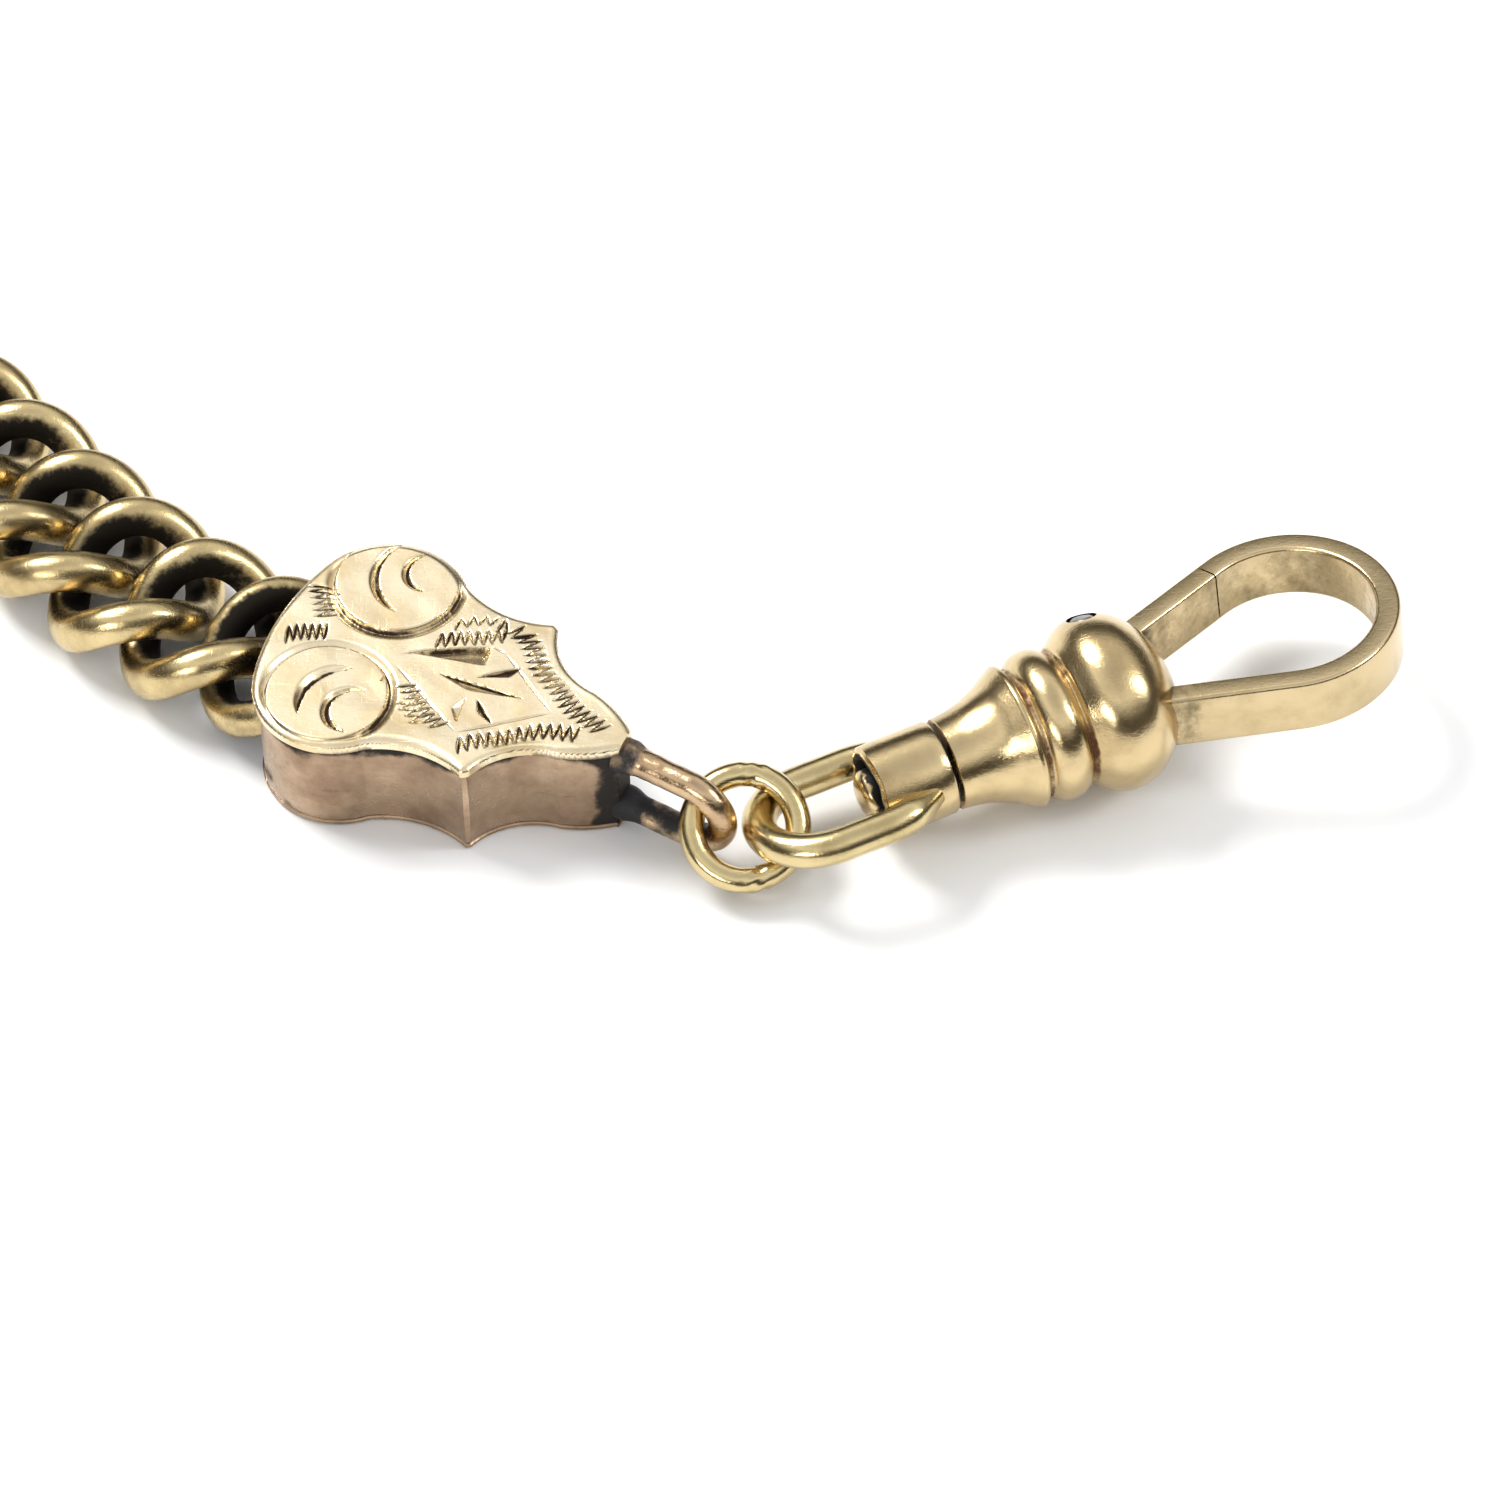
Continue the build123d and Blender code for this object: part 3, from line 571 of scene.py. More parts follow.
def terminal(prefix, place, body, turn):
    """The engraved shield end piece; turn varies the dirt from one terminal to the other."""
    tag = prefix.split("_")[0]
    # face plate: a fine sheet over the shield, its edge rolled over
    columns, rows = 372, 272
    u = np.linspace(0.006, 1, columns)
    bend = 0.12  # crowds the columns towards the chain side, where the edge turns fastest
    full_run = math.sqrt(1 + bend**2) - bend
    x = -TERMINAL_LENGTH + TERMINAL_LENGTH * (np.sqrt(u**2 + bend**2) - bend) / full_run
    reach = np.interp(x, HALF[:, 0], HALF[:, 1])
    v = np.sin(np.linspace(-1, 1, rows) * math.pi / 2 * 0.55) / math.sin(math.pi / 2 * 0.55)
    plan = np.stack([np.repeat(x, rows), (reach[:, None] * v[None]).ravel()], 1)
    relief = engrave(plan)
    edge = edge_distance(plan)
    roll = 0.20 * (1 - np.sqrt(np.clip(1 - (1 - np.clip(edge / 0.28, 0, 1)) ** 2, 0, 1)))
    keep = smooth(edge, 0.10, 0.42)
    full = np.c_[plan, np.zeros(len(plan))]
    wavy = 0.045 * ripple(full, 6.5, 5) + 0.010 * ripple(full, 1.8, 6)
    z = np.minimum(FACE_TOP + relief.height * keep + wavy * keep - roll, RELIEF)
    grime_and_shade = relief.dirt_and_shade * keep + 0.12 * ripple(full, 2.5, 7) * smooth(relief.dirt_and_shade, 0, 0.3) - 0.02
    top = np.c_[plan, z]
    index = np.arange(columns * rows).reshape(columns, rows)
    border = np.r_[index[:, 0], index[-1, 1:], index[-2::-1, -1], index[0, -2:0:-1]]
    loops = [top]
    marks = [grime_and_shade]
    faces = grid_faces(columns, rows)
    faces = [f[::-1] for f in faces]
    rim = top[border]
    centre = rim[:, :2] + unit(np.array([[-7.5, 0]]) - rim[:, :2]) * 0.10
    before = border
    # the rolled edge turns under the face: a light rim, then the face's underside over the wall
    # gets painted shade
    for xy, level, dirt_and_shade in ((rim[:, :2], FACE_BOTTOM + 0.06, 0.1), (centre, FACE_BOTTOM, 0.9)):
        start = sum(len(part) for part in loops)
        loops.append(np.c_[xy, np.full(len(rim), level)])
        marks.append(np.full(len(rim), dirt_and_shade))
        added = start + np.arange(len(rim))
        after, next_before = np.roll(added, -1), np.roll(before, -1)
        faces += [tuple(f) for f in np.stack([before, added, after, next_before], 1).tolist()]
        before = added
    faces.append(tuple(before.tolist()))
    make_piece(
        tag + "_engraved_face", place.out(np.vstack(loops)), faces, face_gold, body,
        [prefix + "_face"], np.concatenate(marks), 50,
    )

    # wall: open on the chain side, slightly barrelled, with a soft lower edge
    outer = closed_outline(OVERHANG)
    inner = closed_outline(OVERHANG + WALL)
    kept = np.where((outer[:, 0] > -13.35) | (np.abs(outer[:, 1]) > 4.45))[0]
    gap = np.where(np.diff(kept) > 1)[0]
    kept = np.r_[kept[gap[0] + 1 :], kept[: gap[0] + 1]] if len(gap) else kept
    levels = [
        (0.30, 0.10), (0.34, 0.03), (0.45, 0.0), (1.2, -0.03), (2.2, -0.04), (3.2, -0.03),
        (3.9, 0.0), (4.25, 0.02), (4.42, 0.06), (4.50, 0.12),
    ]
    shell = []
    out_way = unit(outer - inner)
    for level, inset in levels:
        shell.append(np.c_[outer[kept] - out_way[kept] * inset, np.full(len(kept), level)])
    shell.append(np.c_[inner[kept], np.full(len(kept), 4.50)])
    shell.append(np.c_[inner[kept], np.full(len(kept), 0.30)])
    points = np.vstack(shell)
    side = len(kept)
    faces = grid_faces(len(shell), side, True, False)
    faces.append(tuple(i * side for i in range(len(shell))))
    faces.append(tuple(i * side + side - 1 for i in reversed(range(len(shell)))))
    level = points[:, 2]
    lobe = smooth(-points[:, 0], 10.0, 13.0)
    corner = smooth(-np.abs(points[:, 0] + 8.6), -1.6, -0.2) * smooth(level, 2.6, 4.4)
    # painted shade in a band under the face's overhang, with some dirt in the seam; the wall is
    # also a little darker towards the bottom
    grime_and_shade = 1.1 * smooth(level, 4.05, 4.42) + 0.30 * smooth(-level, -0.9, -0.35)
    grime_and_shade += 0.60 * corner + 0.42 * lobe * (0.6 + 0.9 * ripple(points, 1.5, 9 + turn))
    grime_and_shade += 1.3 * smooth(points[:, 0], -1.25, -0.45) + 0.42 * ripple(points, 2.0, 12 + turn)
    grime_and_shade += 0.14 * ripple(points, 0.7, 15 + turn)
    # the wall's inner faces, inside the shield, are painted fully dark as shade
    grime_and_shade[len(levels) * side :] = 1.0
    make_piece(
        tag + "_shield_wall", place.out(points), faces, wall_gold, body,
        [prefix + "_wall"], grime_and_shade,
    )

    # back plate with a rolled edge
    loops = []
    for inset, level in ((0.14, BACK), (0.03, 0.22), (0.03, 0.10), (0.14, 0.0)):
        edge = closed_outline(OVERHANG + inset - PLATE_LIP)
        loops.append(np.c_[edge, np.full(len(edge), level)])
    points = np.vstack(loops)
    side = len(loops[0])
    faces = grid_faces(len(loops), side, False, True)
    faces = [f[::-1] for f in faces]
    last = len(points) - side
    for i in range(side // 2):
        across = (i, i + 1, side - 2 - i, side - 1 - i)
        faces.append(across)
        faces.append(tuple(last + k for k in reversed(across)))
    grime_and_shade = 0.25 + 0.25 * ripple(points, 3.0, 21 + turn)
    make_piece(
        tag + "_back_plate", place.out(points), faces, wall_gold, body,
        [prefix + "_back"], grime_and_shade,
    )

    # cross post that holds the last link
    post = Place((0, 0, 0), 0)
    post.origin = place.out([-13.80, 0, 0])
    post.axes = np.array([place.axes[2], place.axes[1], -place.axes[0]])
    profile = [
        (0.28, 0), (0.28, 0.75), (0.45, 0.70), (2.4, 0.68), (4.3, 0.70), (4.5, 0.75), (4.5, 0)
    ]
    points, faces, _ = lathe(post, profile, 32)
    # the post sits inside the shield and is painted dark all over as shade
    make_piece(
        tag + "_cross_post", points, faces, chain_gold, body, [prefix + "_post"],
        np.full(len(points), 0.9), 60,
    )


def solder(size, amount, seed):
    """Uneven skin left by solder, strongest near the line's first point."""

    def lumps(points, line):
        near = smooth(-np.linalg.norm(points - line[0], axis=1), -2.6, -0.4)
        skin = near * (amount * ripple(points, size, seed) + 0.4 * amount)
        return skin + 0.006 * ripple(points, 1.0, seed + 1)

    return lumps


def bail(prefix, place, skew, body, seed):
    """The wire loop soldered to the shield's tip, skewed a little about the vertical."""
    tag = prefix.split("_")[0]
    turned = Place((0, 0, 0), 0)
    c, s = math.cos(math.radians(skew)), math.sin(math.radians(skew))
    turned.origin = place.origin
    turned.axes = np.array([[c, s, 0], [-s, c, 0], [0, 0, 1]]) @ place.axes
    reach, top, bottom = 4.35, 4.00, 1.10
    bend = (top - bottom) / 2
    arc = arc_points((reach - bend, top), (reach, (top + bottom) / 2), (reach - bend, bottom), 60)
    xs = np.linspace(-0.25, reach - bend, 30)[:-1]
    upper = np.stack([xs, np.full(len(xs), top)], 1)
    lower = np.stack([xs[::-1], np.full(len(xs), bottom)], 1)
    plan = np.vstack([upper, arc, lower])
    line = turned.out(np.stack([plan[:, 0], 0 * plan[:, 0], plan[:, 1]], 1))
    radius = 0.56 + 0.16 * smooth(-plan[:, 0], -0.75, 0.0)
    points, faces, facing, _ = tube(
        line, radius, WIRE_SIDES, turned.out([0.9, 0, (top + bottom) / 2]), False,
        solder(0.55, 0.045, seed),
    )
    back = (points - turned.origin) @ turned.axes.T
    low = smooth(-back[:, 2], -3.05, -2.1) * smooth(-back[:, 0], -4.5, -3.6)
    root = smooth(-back[:, 0], -1.05, -0.55)
    # painted shade on the wire's inner side; the lower leg is darker too, and the root is blackened
    # by solder
    grime_and_shade = 0.80 * low + 1.0 * root + 0.30 * smooth(-facing, 0.1, 0.9)
    grime_and_shade += 0.22 * ripple(points, 0.9, seed + 3)
    make_piece(
        tag + "_bail", points, faces, bail_gold, body, [prefix + "_bail"],
        grime_and_shade, 60,
    )


rear_x, rear_y, rear_yaw = STATIONS[-1]
rear_reach = TERMINAL_LENGTH - 0.05
rear_angle = math.radians(rear_yaw)
rear_place = Place(
    (rear_x + rear_reach * math.cos(rear_angle), rear_y + rear_reach * math.sin(rear_angle), 0),
    rear_yaw,
)
terminal("front_terminal", front_place, "front_terminal", 0)
bail("front_terminal", front_place, -6.0, "front_terminal", 31)
terminal("rear_terminal", rear_place, "rear_terminal", 1)
bail("rear_terminal", rear_place, 0.0, "rear_terminal", 41)


# ---- rings
def ring(name, node, body, centre, radius, wire, azimuth, elevation, seed, spots, material):
    """A wire ring facing azimuth and elevation, with lumps of solder at the spots."""
    a, e = math.radians(azimuth), math.radians(elevation)
    normal = np.array([math.cos(e) * math.cos(a), math.cos(e) * math.sin(a), math.sin(e)])
    across = unit(np.cross([0, 0, 1.0], normal))
    up = np.cross(normal, across)
    t = np.linspace(0, 2 * math.pi, 120, endpoint=False)
    line = centre + radius * (np.cos(t)[:, None] * across + np.sin(t)[:, None] * up)
    spots = [centre + radius * (math.cos(s) * across + math.sin(s) * up) for s in spots]

    def lumps(points, _):
        near = sum(smooth(-np.linalg.norm(points - s, axis=1), -1.25, -0.3) for s in spots)
        blobs = near * (0.035 * ripple(points, 0.5, seed) - 0.015)
        return blobs + 0.004 * ripple(points, 1.5, seed + 1)

    points, faces, facing, _ = tube(line, wire / 2, WIRE_SIDES, centre, True, lumps)
    # painted shade on each ring's inner side; the solder spots are really darker
    near = sum(smooth(-np.linalg.norm(points - s, axis=1), -1.2, -0.3) for s in spots)
    grime_and_shade = 0.25 * smooth(-facing, 0.2, 0.9) + near * (0.28 + 0.35 * ripple(points, 0.45, seed + 2))
    make_piece(name, points, faces, material, body, [node], grime_and_shade, 60)


ring(
    "soldered_jump_ring", "jump_ring", "jump_ring", np.array([12.719, -5.985, 2.327]), 2.05, 1.0,
    -88.7, 59.5, 51, (math.radians(-78), math.radians(80)), wire_gold,
)
ring(
    "soldered_rear_ring", "rear_ring", "rear_ring", rear_place.out([4.994, 0, 2.20]), 2.25, 1.0,
    rear_yaw - 78.1, 50.7, 61, (math.radians(20),), wire_gold,
)

# ---- swivel clip
CLIP_CENTRE = (26.687, -0.794, 3.55)
CLIP_YAW, CLIP_PITCH = 23.5, 4.0
clip = Place(CLIP_CENTRE, CLIP_YAW, CLIP_PITCH, -10.0)
bow = Place(CLIP_CENTRE, CLIP_YAW, CLIP_PITCH, -20.0)

# bow: a U of wire whose ends taper on to the tube
near_leg = arc_points((-10.20, -2.45), (-9.01, -2.215), (-8.00, -1.62), 22)
legs = np.stack([np.linspace(-10.2, -12.05, 16)[1:-1], np.full(14, -2.45)], 1)
turn_end = arc_points((-12.05, -2.45), (-14.5, 0), (-12.05, 2.45), 72)
plan = np.vstack([near_leg[::-1], legs, turn_end, (legs * [1, -1])[::-1], near_leg * [1, -1]])
line = bow.out(np.c_[plan, np.zeros(len(plan))])
radius = 0.68 - 0.22 * smooth(plan[:, 0], -9.4, -8.0)
points, faces, facing, _ = tube(line, radius, 32, bow.out([-10.8, 0, 0]), False)
back = (points - bow.origin) @ bow.axes.T
# painted shade on the wire's inner side and at the far end, where the jump ring passes; the ends on
# the tube are darkened where they join it
grime_and_shade = 0.30 * smooth(-facing, 0.2, 0.9) + 0.55 * smooth(back[:, 0], -8.7, -8.1)
grime_and_shade += 0.30 * smooth(-back[:, 0], 13.2, 14.2) * smooth(-facing, -0.2, 0.8)
make_piece("wire_bow", points, faces, wire_gold, "swivel", ["swivel_bow"], grime_and_shade, 60)

# tube: a rolled barrel with a ragged open end
profile = [
    (-9.3, 0), (-9.30, 1.30), (-9.90, 1.36), (-10.0, 1.44), (-10.02, 1.60), (-9.98, 1.76),
    (-9.88, 1.86), (-9.4, 1.88), (-8.5, 1.885), (-7.6, 1.88), (-7.16, 1.87), (-7.07, 1.82),
    (-7.05, 1.70), (-7.05, 0.95), (-7.05, 0),
]
points, faces, local = lathe(clip, profile, 96)
angle = np.arctan2(local[:, 2], local[:, 1])
ragged = 0.05 * ripple(np.c_[np.cos(angle), np.sin(angle), 0 * angle] * 2, 1.3, 71)
end = smooth(-local[:, 0], 9.6, 9.95) * smooth(np.hypot(local[:, 1], local[:, 2]), 1.0, 1.4)
points = points + (end * np.minimum(ragged + 0.03, 0.09))[:, None] * clip.axes[0]
reach = np.hypot(local[:, 1], local[:, 2])
# painted shade inside the barrel's open end, around the pin head; its end against the neck is
# darkened as a joint
grime_and_shade = 1.6 * (reach < 1.50) + 1.2 * smooth(-reach, -1.70, -1.55) * (local[:, 0] < -9.8)
grime_and_shade += 0.7 * smooth(local[:, 0], -7.22, -7.08) + 0.18 * ripple(points, 1.6, 72)
make_piece(
    "swivel_barrel", points, faces, barrel_gold, "swivel", ["swivel_tube"], grime_and_shade
)

# pin: domed gold head inside the barrel
profile = [
    (-10.55, 0), (-10.53, 0.30), (-10.46, 0.62), (-10.34, 0.85), (-10.18, 0.97), (-9.9, 1.00),
    (-9.42, 1.00), (-9.40, 0.80), (-7.0, 0.80), (-4.62, 0.80), (-4.60, 0),
]
points, faces, local = lathe(clip, profile, 64)
reach = np.hypot(local[:, 1], local[:, 2])
# the head is painted dark where it sinks into the barrel, as shade
grime_and_shade = 1.3 * smooth(local[:, 0], -10.26, -10.10) + 0.15 * ripple(points, 0.7, 73)
make_piece("pin_head", points, faces, barrel_gold, "clip", ["swivel_pin"], grime_and_shade)


def body_profile():
    """Half section of the turned body from the neck's end to the end of the ball."""
    neck = through(
        [(-6.80, 1.84), (-6.05, 1.93), (-5.40, 2.11), (-4.82, 2.35), (-4.36, 2.62), (-3.98, 2.84)],
        12,
    )
    rim = arc_points((-3.98, 2.84), (-3.83, 2.90), (-3.72, 2.86), 7)[1:]
    groove = through([(-3.66, 2.76), (-3.60, 2.64), (-3.50, 2.585), (-3.40, 2.62)], 4)
    bead = arc_points((-3.36, 2.64), (-2.46, 3.05), (-1.80, 2.72), 26)
    second = through([(-1.75, 2.66), (-1.70, 2.64), (-1.64, 2.70), (-1.58, 2.80)], 4)
    ball = through(
        [
            (-1.52, 2.86), (-0.80, 3.38), (0, 3.55), (1.00, 3.29), (1.90, 2.48), (2.45, 1.30),
            (2.63, 0.45),
        ],
        12,
    )
    start = [(-6.85, 0), (-6.85, 0.81), (-6.85, 1.74), (-6.84, 1.80)]
    return np.vstack([start, neck, rim, groove, bead, second, ball, [(2.65, 0)]])


BODY = body_profile()
points, faces, local = lathe(clip, BODY, 144)
reach = np.hypot(local[:, 1], local[:, 2])
along = local[:, 0]
grime_and_shade = 0.62 * smooth(-np.abs(along + 3.50), -0.26, -0.05)
grime_and_shade = grime_and_shade + 0.62 * smooth(-np.abs(along + 1.68), -0.26, -0.06)
grime_and_shade += 0.20 * smooth(-np.abs(along + 2.6), -1.6, -0.6) + 0.70 * smooth(-along, 6.70, 6.83)
grime_and_shade += 0.22 * smooth(-reach, -2.6, -1.4) * (along > 1.0) + 0.12 * ripple(points, 2.4, 81)
body_piece = make_piece(
    "turned_body", points, faces, clip_gold, "clip", ["clip_body"], grime_and_shade, 38
)


def prism(plan, half, place):
    """Closed prism over a plan polygon in the place's plane, for cutting."""
    plan = np.asarray(plan, float)
    count = len(plan)
    points = np.vstack([np.c_[plan, np.full(count, -half)], np.c_[plan, np.full(count, half)]])
    faces = [tuple(reversed(range(count))), tuple(range(count, 2 * count))]
    for i in range(count):
        j = (i + 1) % count
        faces.append((i, j, count + j, count + i))
    mesh = bpy.data.meshes.new("cutter")
    mesh.from_pydata((place.out(points) * MM).tolist(), [], faces)
    cutter = bpy.data.objects.new("cutter", mesh)
    scene.collection.objects.link(cutter)
    return cutter


def carve(piece, cutters):
    for cutter in cutters:
        m = piece.modifiers.new("cut", "BOOLEAN")
        m.operation = "DIFFERENCE"
        m.solver = "EXACT"
        m.object = cutter
    graph = bpy.context.evaluated_depsgraph_get()
    made = bpy.data.meshes.new_from_object(piece.evaluated_get(graph))
    piece.modifiers.clear()
    old = piece.data
    piece.data = made
    made.name = old.name + "_cut"
    for cutter in cutters:
        bpy.data.objects.remove(cutter)
    made.shade_smooth()
    made.set_sharp_from_angle(angle=math.radians(38))


GATE_PIVOT = (0.10, 1.85)
slot_plan = [
    (-1.10, 0.45), (0.60, 0.40), (1.60, -0.10), (3.40, -0.55), (3.40, 2.78), (1.15, 2.78),
    (0.60, 3.02), (-0.50, 3.02), (-1.10, 2.60),
]
turn = np.linspace(0, 2 * math.pi, 32, endpoint=False)
hole_plan = np.stack([GATE_PIVOT[0] + 0.60 * np.cos(turn), GATE_PIVOT[1] + 0.60 * np.sin(turn)], 1)
carve(body_piece, [prism(slot_plan, 1.28, clip), prism(hole_plan, 5.0, clip)])

# gate pin: its ends follow the ball, just below it, and darken towards the rim
rings_out = np.linspace(0, 0.50, 9)[1:]
spokes = 40
cap_plan = [np.array([[0.0, 0.0]])]
for r in rings_out:
    a = np.linspace(0, 2 * math.pi, spokes, endpoint=False)
    cap_plan.append(np.stack([r * np.cos(a), r * np.sin(a)], 1))
cap_plan = np.vstack(cap_plan) + GATE_PIVOT
ball_radius = np.interp(cap_plan[:, 0], BODY[:, 0], BODY[:, 1])
level = np.sqrt(ball_radius**2 - cap_plan[:, 1] ** 2)
away = np.linalg.norm(cap_plan - GATE_PIVOT, axis=1)
level = level - 0.05 - 0.10 * smooth(away, 0.34, 0.52)
upper = np.c_[cap_plan, level]
lower = np.c_[cap_plan, -level]
count = len(upper)
faces = []
for i in range(spokes):
    j = (i + 1) % spokes
    faces.append((0, 1 + i, 1 + j))
    faces.append((count, count + 1 + j, count + 1 + i))
for k in range(len(rings_out) - 1):
    for i in range(spokes):
        j = (i + 1) % spokes
        a, b = 1 + k * spokes, 1 + (k + 1) * spokes
        faces.append((a + i, b + i, b + j, a + j))
        faces.append((count + a + i, count + a + j, count + b + j, count + b + i))
edge_at = 1 + (len(rings_out) - 1) * spokes
for i in range(spokes):
    j = (i + 1) % spokes
    faces.append((edge_at + i, count + edge_at + i, count + edge_at + j, edge_at + j))
points = clip.out(np.vstack([upper, lower]))
grime_and_shade = np.tile(0.9 * smooth(away, 0.40, 0.50) + 0.1, 2)
make_piece(
    "gate_hinge_pin", points, faces, pin_steel, "clip", ["gate_pin"], grime_and_shade, 50
)

# hook: a flat strap with softened corners, two straight legs and a round end
LEG = math.radians(20)  # the legs' lean from the clip's axis
LOOP_CENTRE, LOOP_RADIUS = 7.85, 3.95
HALF_THICK, HALF_TALL, CORNER = 0.475, 1.20, 0.17
touch = np.array([LOOP_CENTRE - LOOP_RADIUS * math.sin(LEG), LOOP_RADIUS * math.cos(LEG)])
root = np.array([0.40, touch[1] - (touch[0] - 0.40) * math.tan(LEG)])
leg_way = unit(touch - root)
CUT_OUTER, CUT_INNER = np.array([5.60, 4.60]), np.array([6.70, 2.60])


def section():
    """Rounded rectangle: first across the strap's thickness, then along its height."""
    corners = []
    for sx, sy, start in ((1, 1, 0), (-1, 1, 90), (-1, -1, 180), (1, -1, 270)):
        a = np.radians(np.linspace(start, start + 90, 7))
        x = sx * (HALF_THICK - CORNER) + CORNER * np.cos(a)
        y = sy * (HALF_TALL - CORNER) + CORNER * np.sin(a)
        corners.append(np.stack([x, y], 1))
    return np.vstack(corners)


def strap(plan, slant_first=None, slant_last=None):
    """Strap along plan points of the clip; an end may be cut along a line."""
    plan = np.asarray(plan, float)
    along = unit(np.gradient(plan, axis=0))
    outward = np.stack([along[:, 1], -along[:, 0]], 1)
    shape = section()
    rows = [np.c_[p + shape[:, :1] * out, shape[:, 1]] for p, out in zip(plan, outward)]
    for where, cut in ((0, slant_first), (-1, slant_last)):
        if cut is None:
            continue
        a, b = cut
        normal = np.array([b[1] - a[1], a[0] - b[0]])
        spot = rows[where][:, :2]
        t = ((a - spot) @ normal) / (along[where] @ normal)
        rows[where][:, :2] = spot + t[:, None] * along[where]
    side = len(shape)
    faces = grid_faces(len(rows), side, False, True)
    faces.append(tuple(reversed(range(side))))
    faces.append(tuple((len(rows) - 1) * side + i for i in range(side)))
    return np.vstack(rows), [f[::-1] for f in faces]


arc = arc_points((touch[0], -touch[1]), (LOOP_CENTRE + LOOP_RADIUS, 0), touch, 120)
near = np.linspace((root * [1, -1]), (touch * [1, -1]), 30)[:-1]
cut_mid = (CUT_OUTER + CUT_INNER) / 2
cut_along = (cut_mid - root) @ leg_way
far_tip = root + leg_way * cut_along
past_touch = cut_along >= np.linalg.norm(touch - root)
beyond = far_tip[None] if past_touch else np.linspace(touch, far_tip, 4)[1:]
local, faces = strap(np.vstack([near, arc, beyond]), None, (CUT_OUTER, CUT_INNER))
points = clip.out(local)
reach = local[:, 0]
# painted shade where the strap runs into the ball's slot and on the loop's inner faces
grime_and_shade = 0.75 * smooth(-reach, -3.3, -2.35) + 0.18 * ripple(points, 1.8, 91)
inside = np.linalg.norm((local[:, :2] - [LOOP_CENTRE, 0]) * [0.8, 1], axis=1)
flank = smooth(-np.abs(local[:, 2]), -1.19, -1.0)
grime_and_shade += 0.60 * smooth(-inside, -3.80, -3.50) * (reach > 2.5) * flank
make_piece("fixed_hook", points, faces, hook_gold, "clip", ["hook"], grime_and_shade)

# gate: the same strap, stopping just short of the hook, with a knuckle on the pin
play = np.array([0.08, 0])
gate_line = np.linspace(root, far_tip - leg_way * 0.1, 36)
local, faces = strap(gate_line, None, (CUT_OUTER - play, CUT_INNER - play))
hub = Place((0, 0, 0), 0)
hub.axes = np.array([[0, 0, 1.0], [0, 1, 0], [-1, 0, 0]])
hub.origin = np.array([*GATE_PIVOT, 0])
knuckle, knuckle_faces, _ = lathe(
    hub, [(-1.2, 0), (-1.2, 0.85), (-1.1, 0.97), (0, 1.0), (1.1, 0.97), (1.2, 0.85), (1.2, 0)], 48
)
shift = len(local)
faces += [tuple(i + shift for i in f) for f in knuckle_faces]
local = np.vstack([local, knuckle])
points = clip.out(local)
# painted shade where the strap runs into the ball's slot and on its face towards the hook
grime_and_shade = 0.70 * smooth(-local[:, 0], -3.2, -2.3) + 0.18 * ripple(points, 1.7, 93)
across = (local[:, :2] - root) @ np.array([leg_way[1], -leg_way[0]])
flank = smooth(-np.abs(local[:, 2]), -1.19, -1.0)
grime_and_shade += 0.66 * smooth(across, 0.30, 0.46) * flank
make_piece("sprung_gate", points, faces, hook_gold, "gate", ["gate"], grime_and_shade)

# the inner spring keeps its CAD shape
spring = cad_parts["gate_spring"]
spring.data.materials.clear()
spring.data.materials.append(pin_steel)

# ---- T-bar
LOOP_RING, LOOP_WIRE = 2.3, 1.1
loop_place = rear_place.moved(5.477 + LOOP_RING, 0, 2.00)
t = np.linspace(0, 2 * math.pi, 120, endpoint=False)
line = loop_place.out(np.stack([LOOP_RING * np.cos(t), LOOP_RING * np.sin(t), 0 * t], 1))
points, faces, facing, _ = tube(line, LOOP_WIRE / 2, WIRE_SIDES, loop_place.origin)
# painted shade on the wire's inner side and on the half that meets the bar
grime_and_shade = 0.35 * smooth(-facing, 0.2, 0.9) + 0.15 * ripple(points, 1.2, 101)
back = (points - loop_place.origin) @ loop_place.axes.T
grime_and_shade += 0.6 * smooth(back[:, 0], 0.6, 1.9)
make_piece(
    "tbar_wire_loop", points, faces, wire_gold, "tbar", ["tbar_loop"], grime_and_shade, 60
)
bar_place = Place(loop_place.out([3.60, 0, 0]), rear_yaw + 90)
HALF_BAR = 13.0
stop = HALF_BAR - 1.6
collar = arc_points((-1.40, 1.55), (0, 1.75), (1.40, 1.55), 20)
shaft = np.vstack([
    [(-stop, 0), (-stop, 0.95)], through([(-stop, 1.0), (-6, 1.10), (-1.95, 1.14)], 10),
    [(-1.90, 1.30), (-1.86, 1.50), (-1.75, 1.55)], collar,
    [(1.75, 1.55), (1.86, 1.50), (1.90, 1.30)],
    through([(1.95, 1.14), (6, 1.10), (stop, 1.0)], 10), [(stop, 0.95), (stop, 0)],
])
points, faces, local = lathe(bar_place, shaft, 72)
grime_and_shade = 0.7 * smooth(-np.abs(np.abs(local[:, 0]) - 1.93), -0.25, -0.02)
grime_and_shade = grime_and_shade + 0.2 * ripple(points, 2.4, 103)
make_piece("tbar_shaft", points, faces, clip_gold, "tbar", ["tbar_bar"], grime_and_shade)
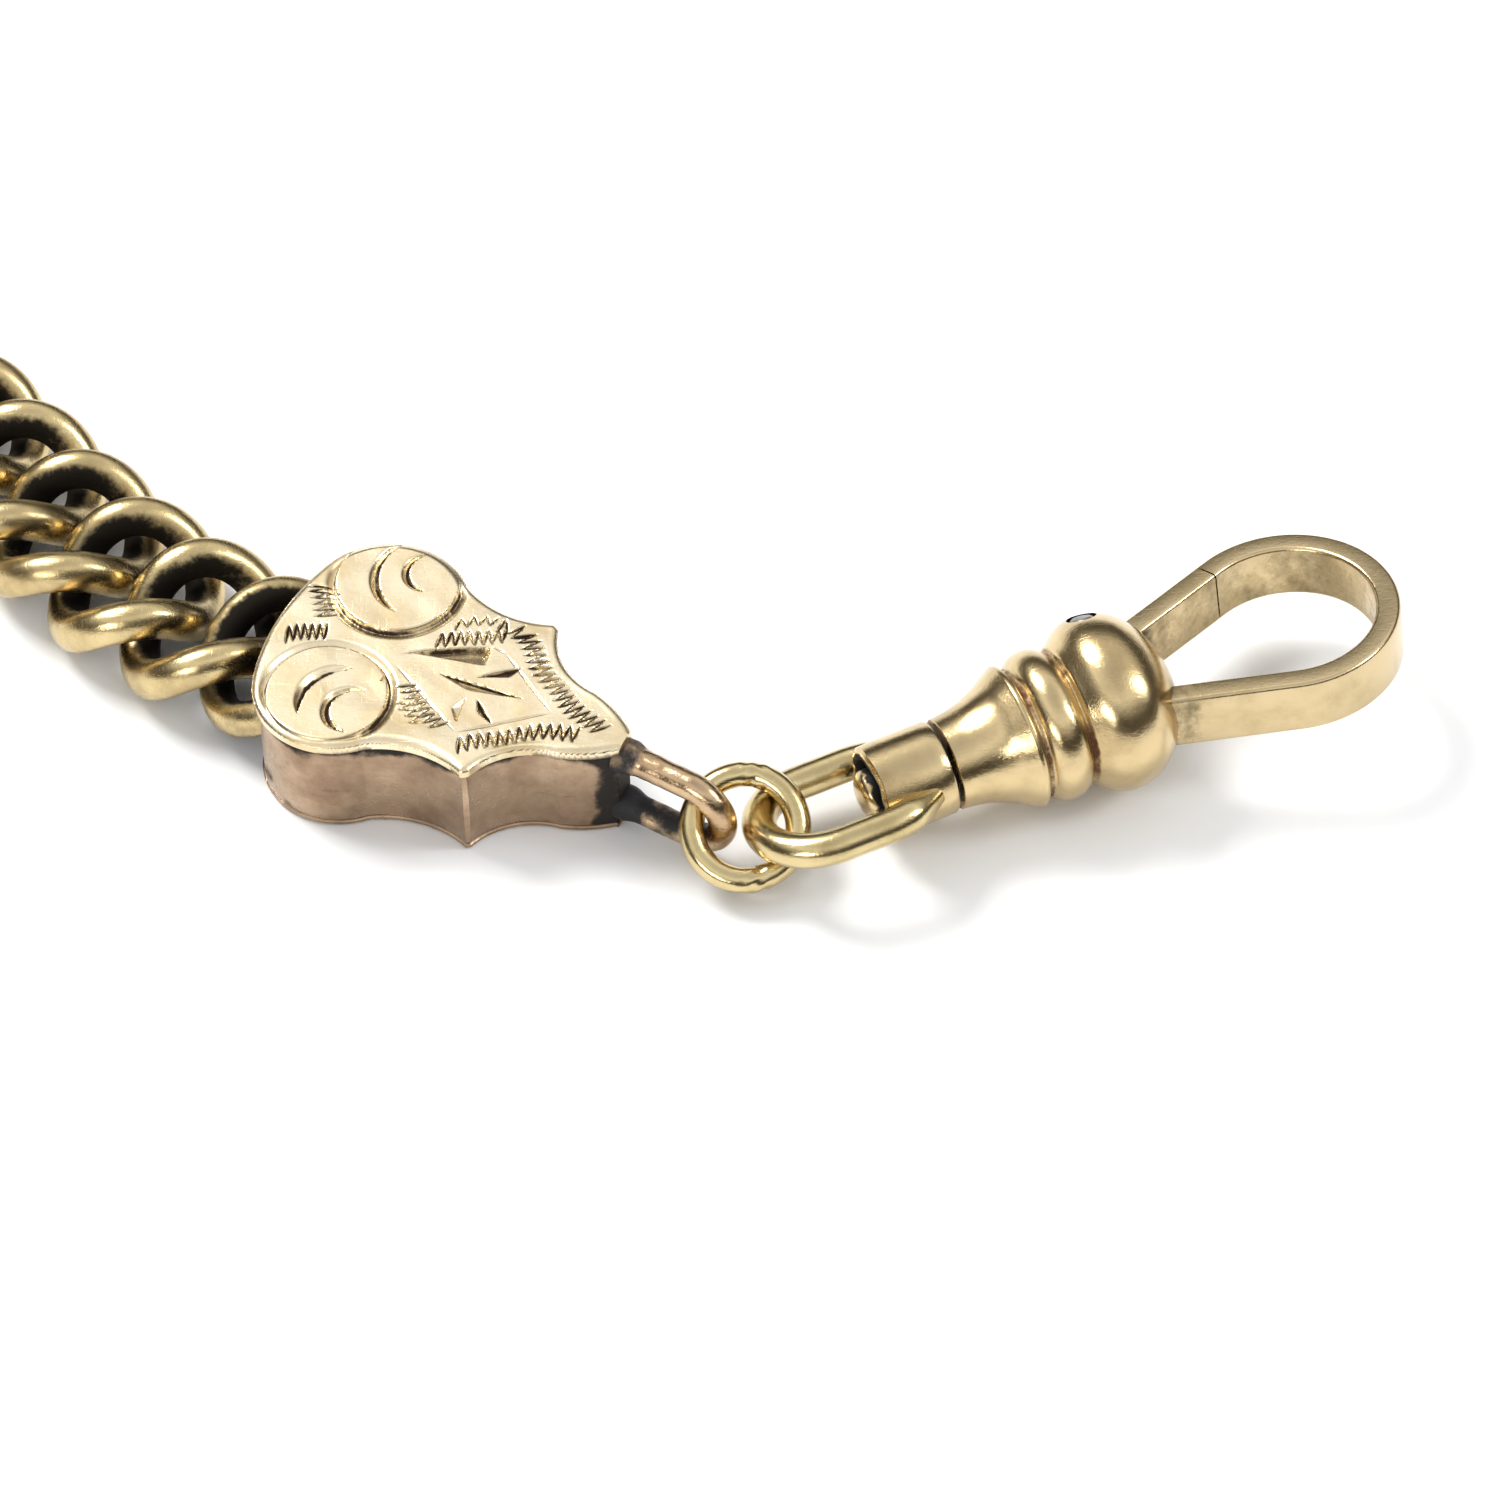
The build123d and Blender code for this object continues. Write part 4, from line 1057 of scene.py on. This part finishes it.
for side, label in ((1, "left"), (-1, "right")):
    cap = through(
        [
            (stop + 0.02, 1.12), (stop + 0.25, 1.45), (12.1, 1.66), (12.8, 1.66), (13.5, 1.05),
            (13.84, 0.35),
        ],
        10,
    )
    cap = np.vstack([[(stop, 0), (stop, 1.05)], cap, [(13.9, 0)]]) * [side, 1]
    points, faces, local = lathe(bar_place, cap if side > 0 else cap[::-1], 56)
    grime_and_shade = 0.6 * smooth(-np.abs(local[:, 0]), -11.75, -11.42)
    grime_and_shade = grime_and_shade + 0.2 * ripple(points, 1.5, 105 + side)
    make_piece(
        "tbar_knob_" + label, points, faces, clip_gold, "tbar", ["tbar_cap_" + label],
        grime_and_shade,
    )

# ---- floor and light
TARGET = np.array([12.917, -0.304, 0.0]) * MM


def pale_floor():
    m = bpy.data.materials.new("pale_floor")
    m.use_nodes = True
    nodes, links = m.node_tree.nodes, m.node_tree.links
    shader = nodes["Principled BSDF"]
    shader.inputs["Roughness"].default_value = 0.6
    shader.inputs["Specular IOR Level"].default_value = 0.2
    place = nodes.new("ShaderNodeTexCoord")
    n = nodes.new("ShaderNodeTexNoise")
    n.inputs["Scale"].default_value = 12
    links.new(place.outputs["Object"], n.inputs["Vector"])
    mix = nodes.new("ShaderNodeMix")
    mix.data_type = "RGBA"
    mix.inputs[6].default_value = (0.94, 0.945, 0.95, 1)
    mix.inputs[7].default_value = (0.90, 0.905, 0.91, 1)
    links.new(n.outputs["Fac"], mix.inputs[0])
    links.new(mix.outputs[2], shader.inputs["Base Color"])
    return m


# all in metres from here on
FLOOR_REACH = 3.0
FLOOR_DROP = 0.00002  # keeps the floor clear of the lowest faces
CAMERA_DISTANCE = 0.2196
CAMERA_LIFT = 51
CAMERA_LENS = 134.4
corners = [(x * FLOOR_REACH, y * FLOOR_REACH, 0) for x, y in ((-1, -1), (1, -1), (1, 1), (-1, 1))]
floor_mesh = bpy.data.meshes.new("floor")
floor_mesh.from_pydata(corners, [], [(0, 1, 2, 3)])
floor_mesh.materials.append(pale_floor())
floor = bpy.data.objects.new("floor", floor_mesh)
scene.collection.objects.link(floor)
floor.location.z = -FLOOR_DROP

world = bpy.data.worlds.new("studio")
scene.world = world
world.use_nodes = True
tree = world.node_tree
sky = tree.nodes["Background"]
where = tree.nodes.new("ShaderNodeTexCoord")
split = tree.nodes.new("ShaderNodeSeparateXYZ")
tree.links.new(where.outputs["Generated"], split.inputs[0])
tones = tree.nodes.new("ShaderNodeValToRGB")
tree.links.new(split.outputs["Z"], tones.inputs[0])
# the sky's brightness from straight down (0) to straight up (1)
ramp_stops = [
    (0.00, (0.34, 0.32, 0.29)), (0.12, (0.12, 0.105, 0.085)), (0.36, (0.07, 0.06, 0.05)),
    (0.52, (0.50, 0.50, 0.49)), (0.74, (1.62, 1.63, 1.64)), (1.00, (0.95, 0.97, 1.00)),
]
while len(tones.color_ramp.elements) < len(ramp_stops):
    tones.color_ramp.elements.new(0.5)
for element, (position, colour) in zip(tones.color_ramp.elements, ramp_stops):
    element.position = position
    element.color = (*colour, 1)
tree.links.new(tones.outputs["Color"], sky.inputs["Color"])
sky.inputs["Strength"].default_value = 0.74


def soft_light(name, spot, size, power, colour):
    """A rectangular light at spot from the target, turned to face it."""
    data = bpy.data.lights.new(name, "AREA")
    data.shape = "RECTANGLE"
    data.size, data.size_y = size
    data.energy = power
    data.color = colour
    lamp = bpy.data.objects.new(name, data)
    scene.collection.objects.link(lamp)
    lamp.location = Vector(TARGET) + Vector(spot)
    lamp.rotation_euler = (-Vector(spot)).to_track_quat("-Z", "Y").to_euler()


soft_light("window", (-0.26, 0.20, 0.40), (0.20, 0.20), 2.3, (1.0, 0.99, 0.97))
soft_light("fill", (0.34, -0.02, 0.30), (0.10, 0.16), 0.5, (0.95, 0.98, 1.0))
soft_light("front", (-0.20, -0.36, 0.16), (0.20, 0.10), 0.45, (1.0, 0.99, 0.97))

camera_data = bpy.data.cameras.new("camera")
camera_data.sensor_width = 36
camera_data.lens = CAMERA_LENS
camera_data.clip_start, camera_data.clip_end = 0.01, 10
camera = bpy.data.objects.new("camera", camera_data)
scene.collection.objects.link(camera)
lift = math.radians(CAMERA_LIFT)
eye = Vector((0, -math.cos(lift), math.sin(lift))) * CAMERA_DISTANCE
camera.location = Vector(TARGET) + eye
camera.rotation_euler = (-eye).to_track_quat("-Z", "Y").to_euler()
scene.camera = camera
scene.view_settings.view_transform = "Standard"
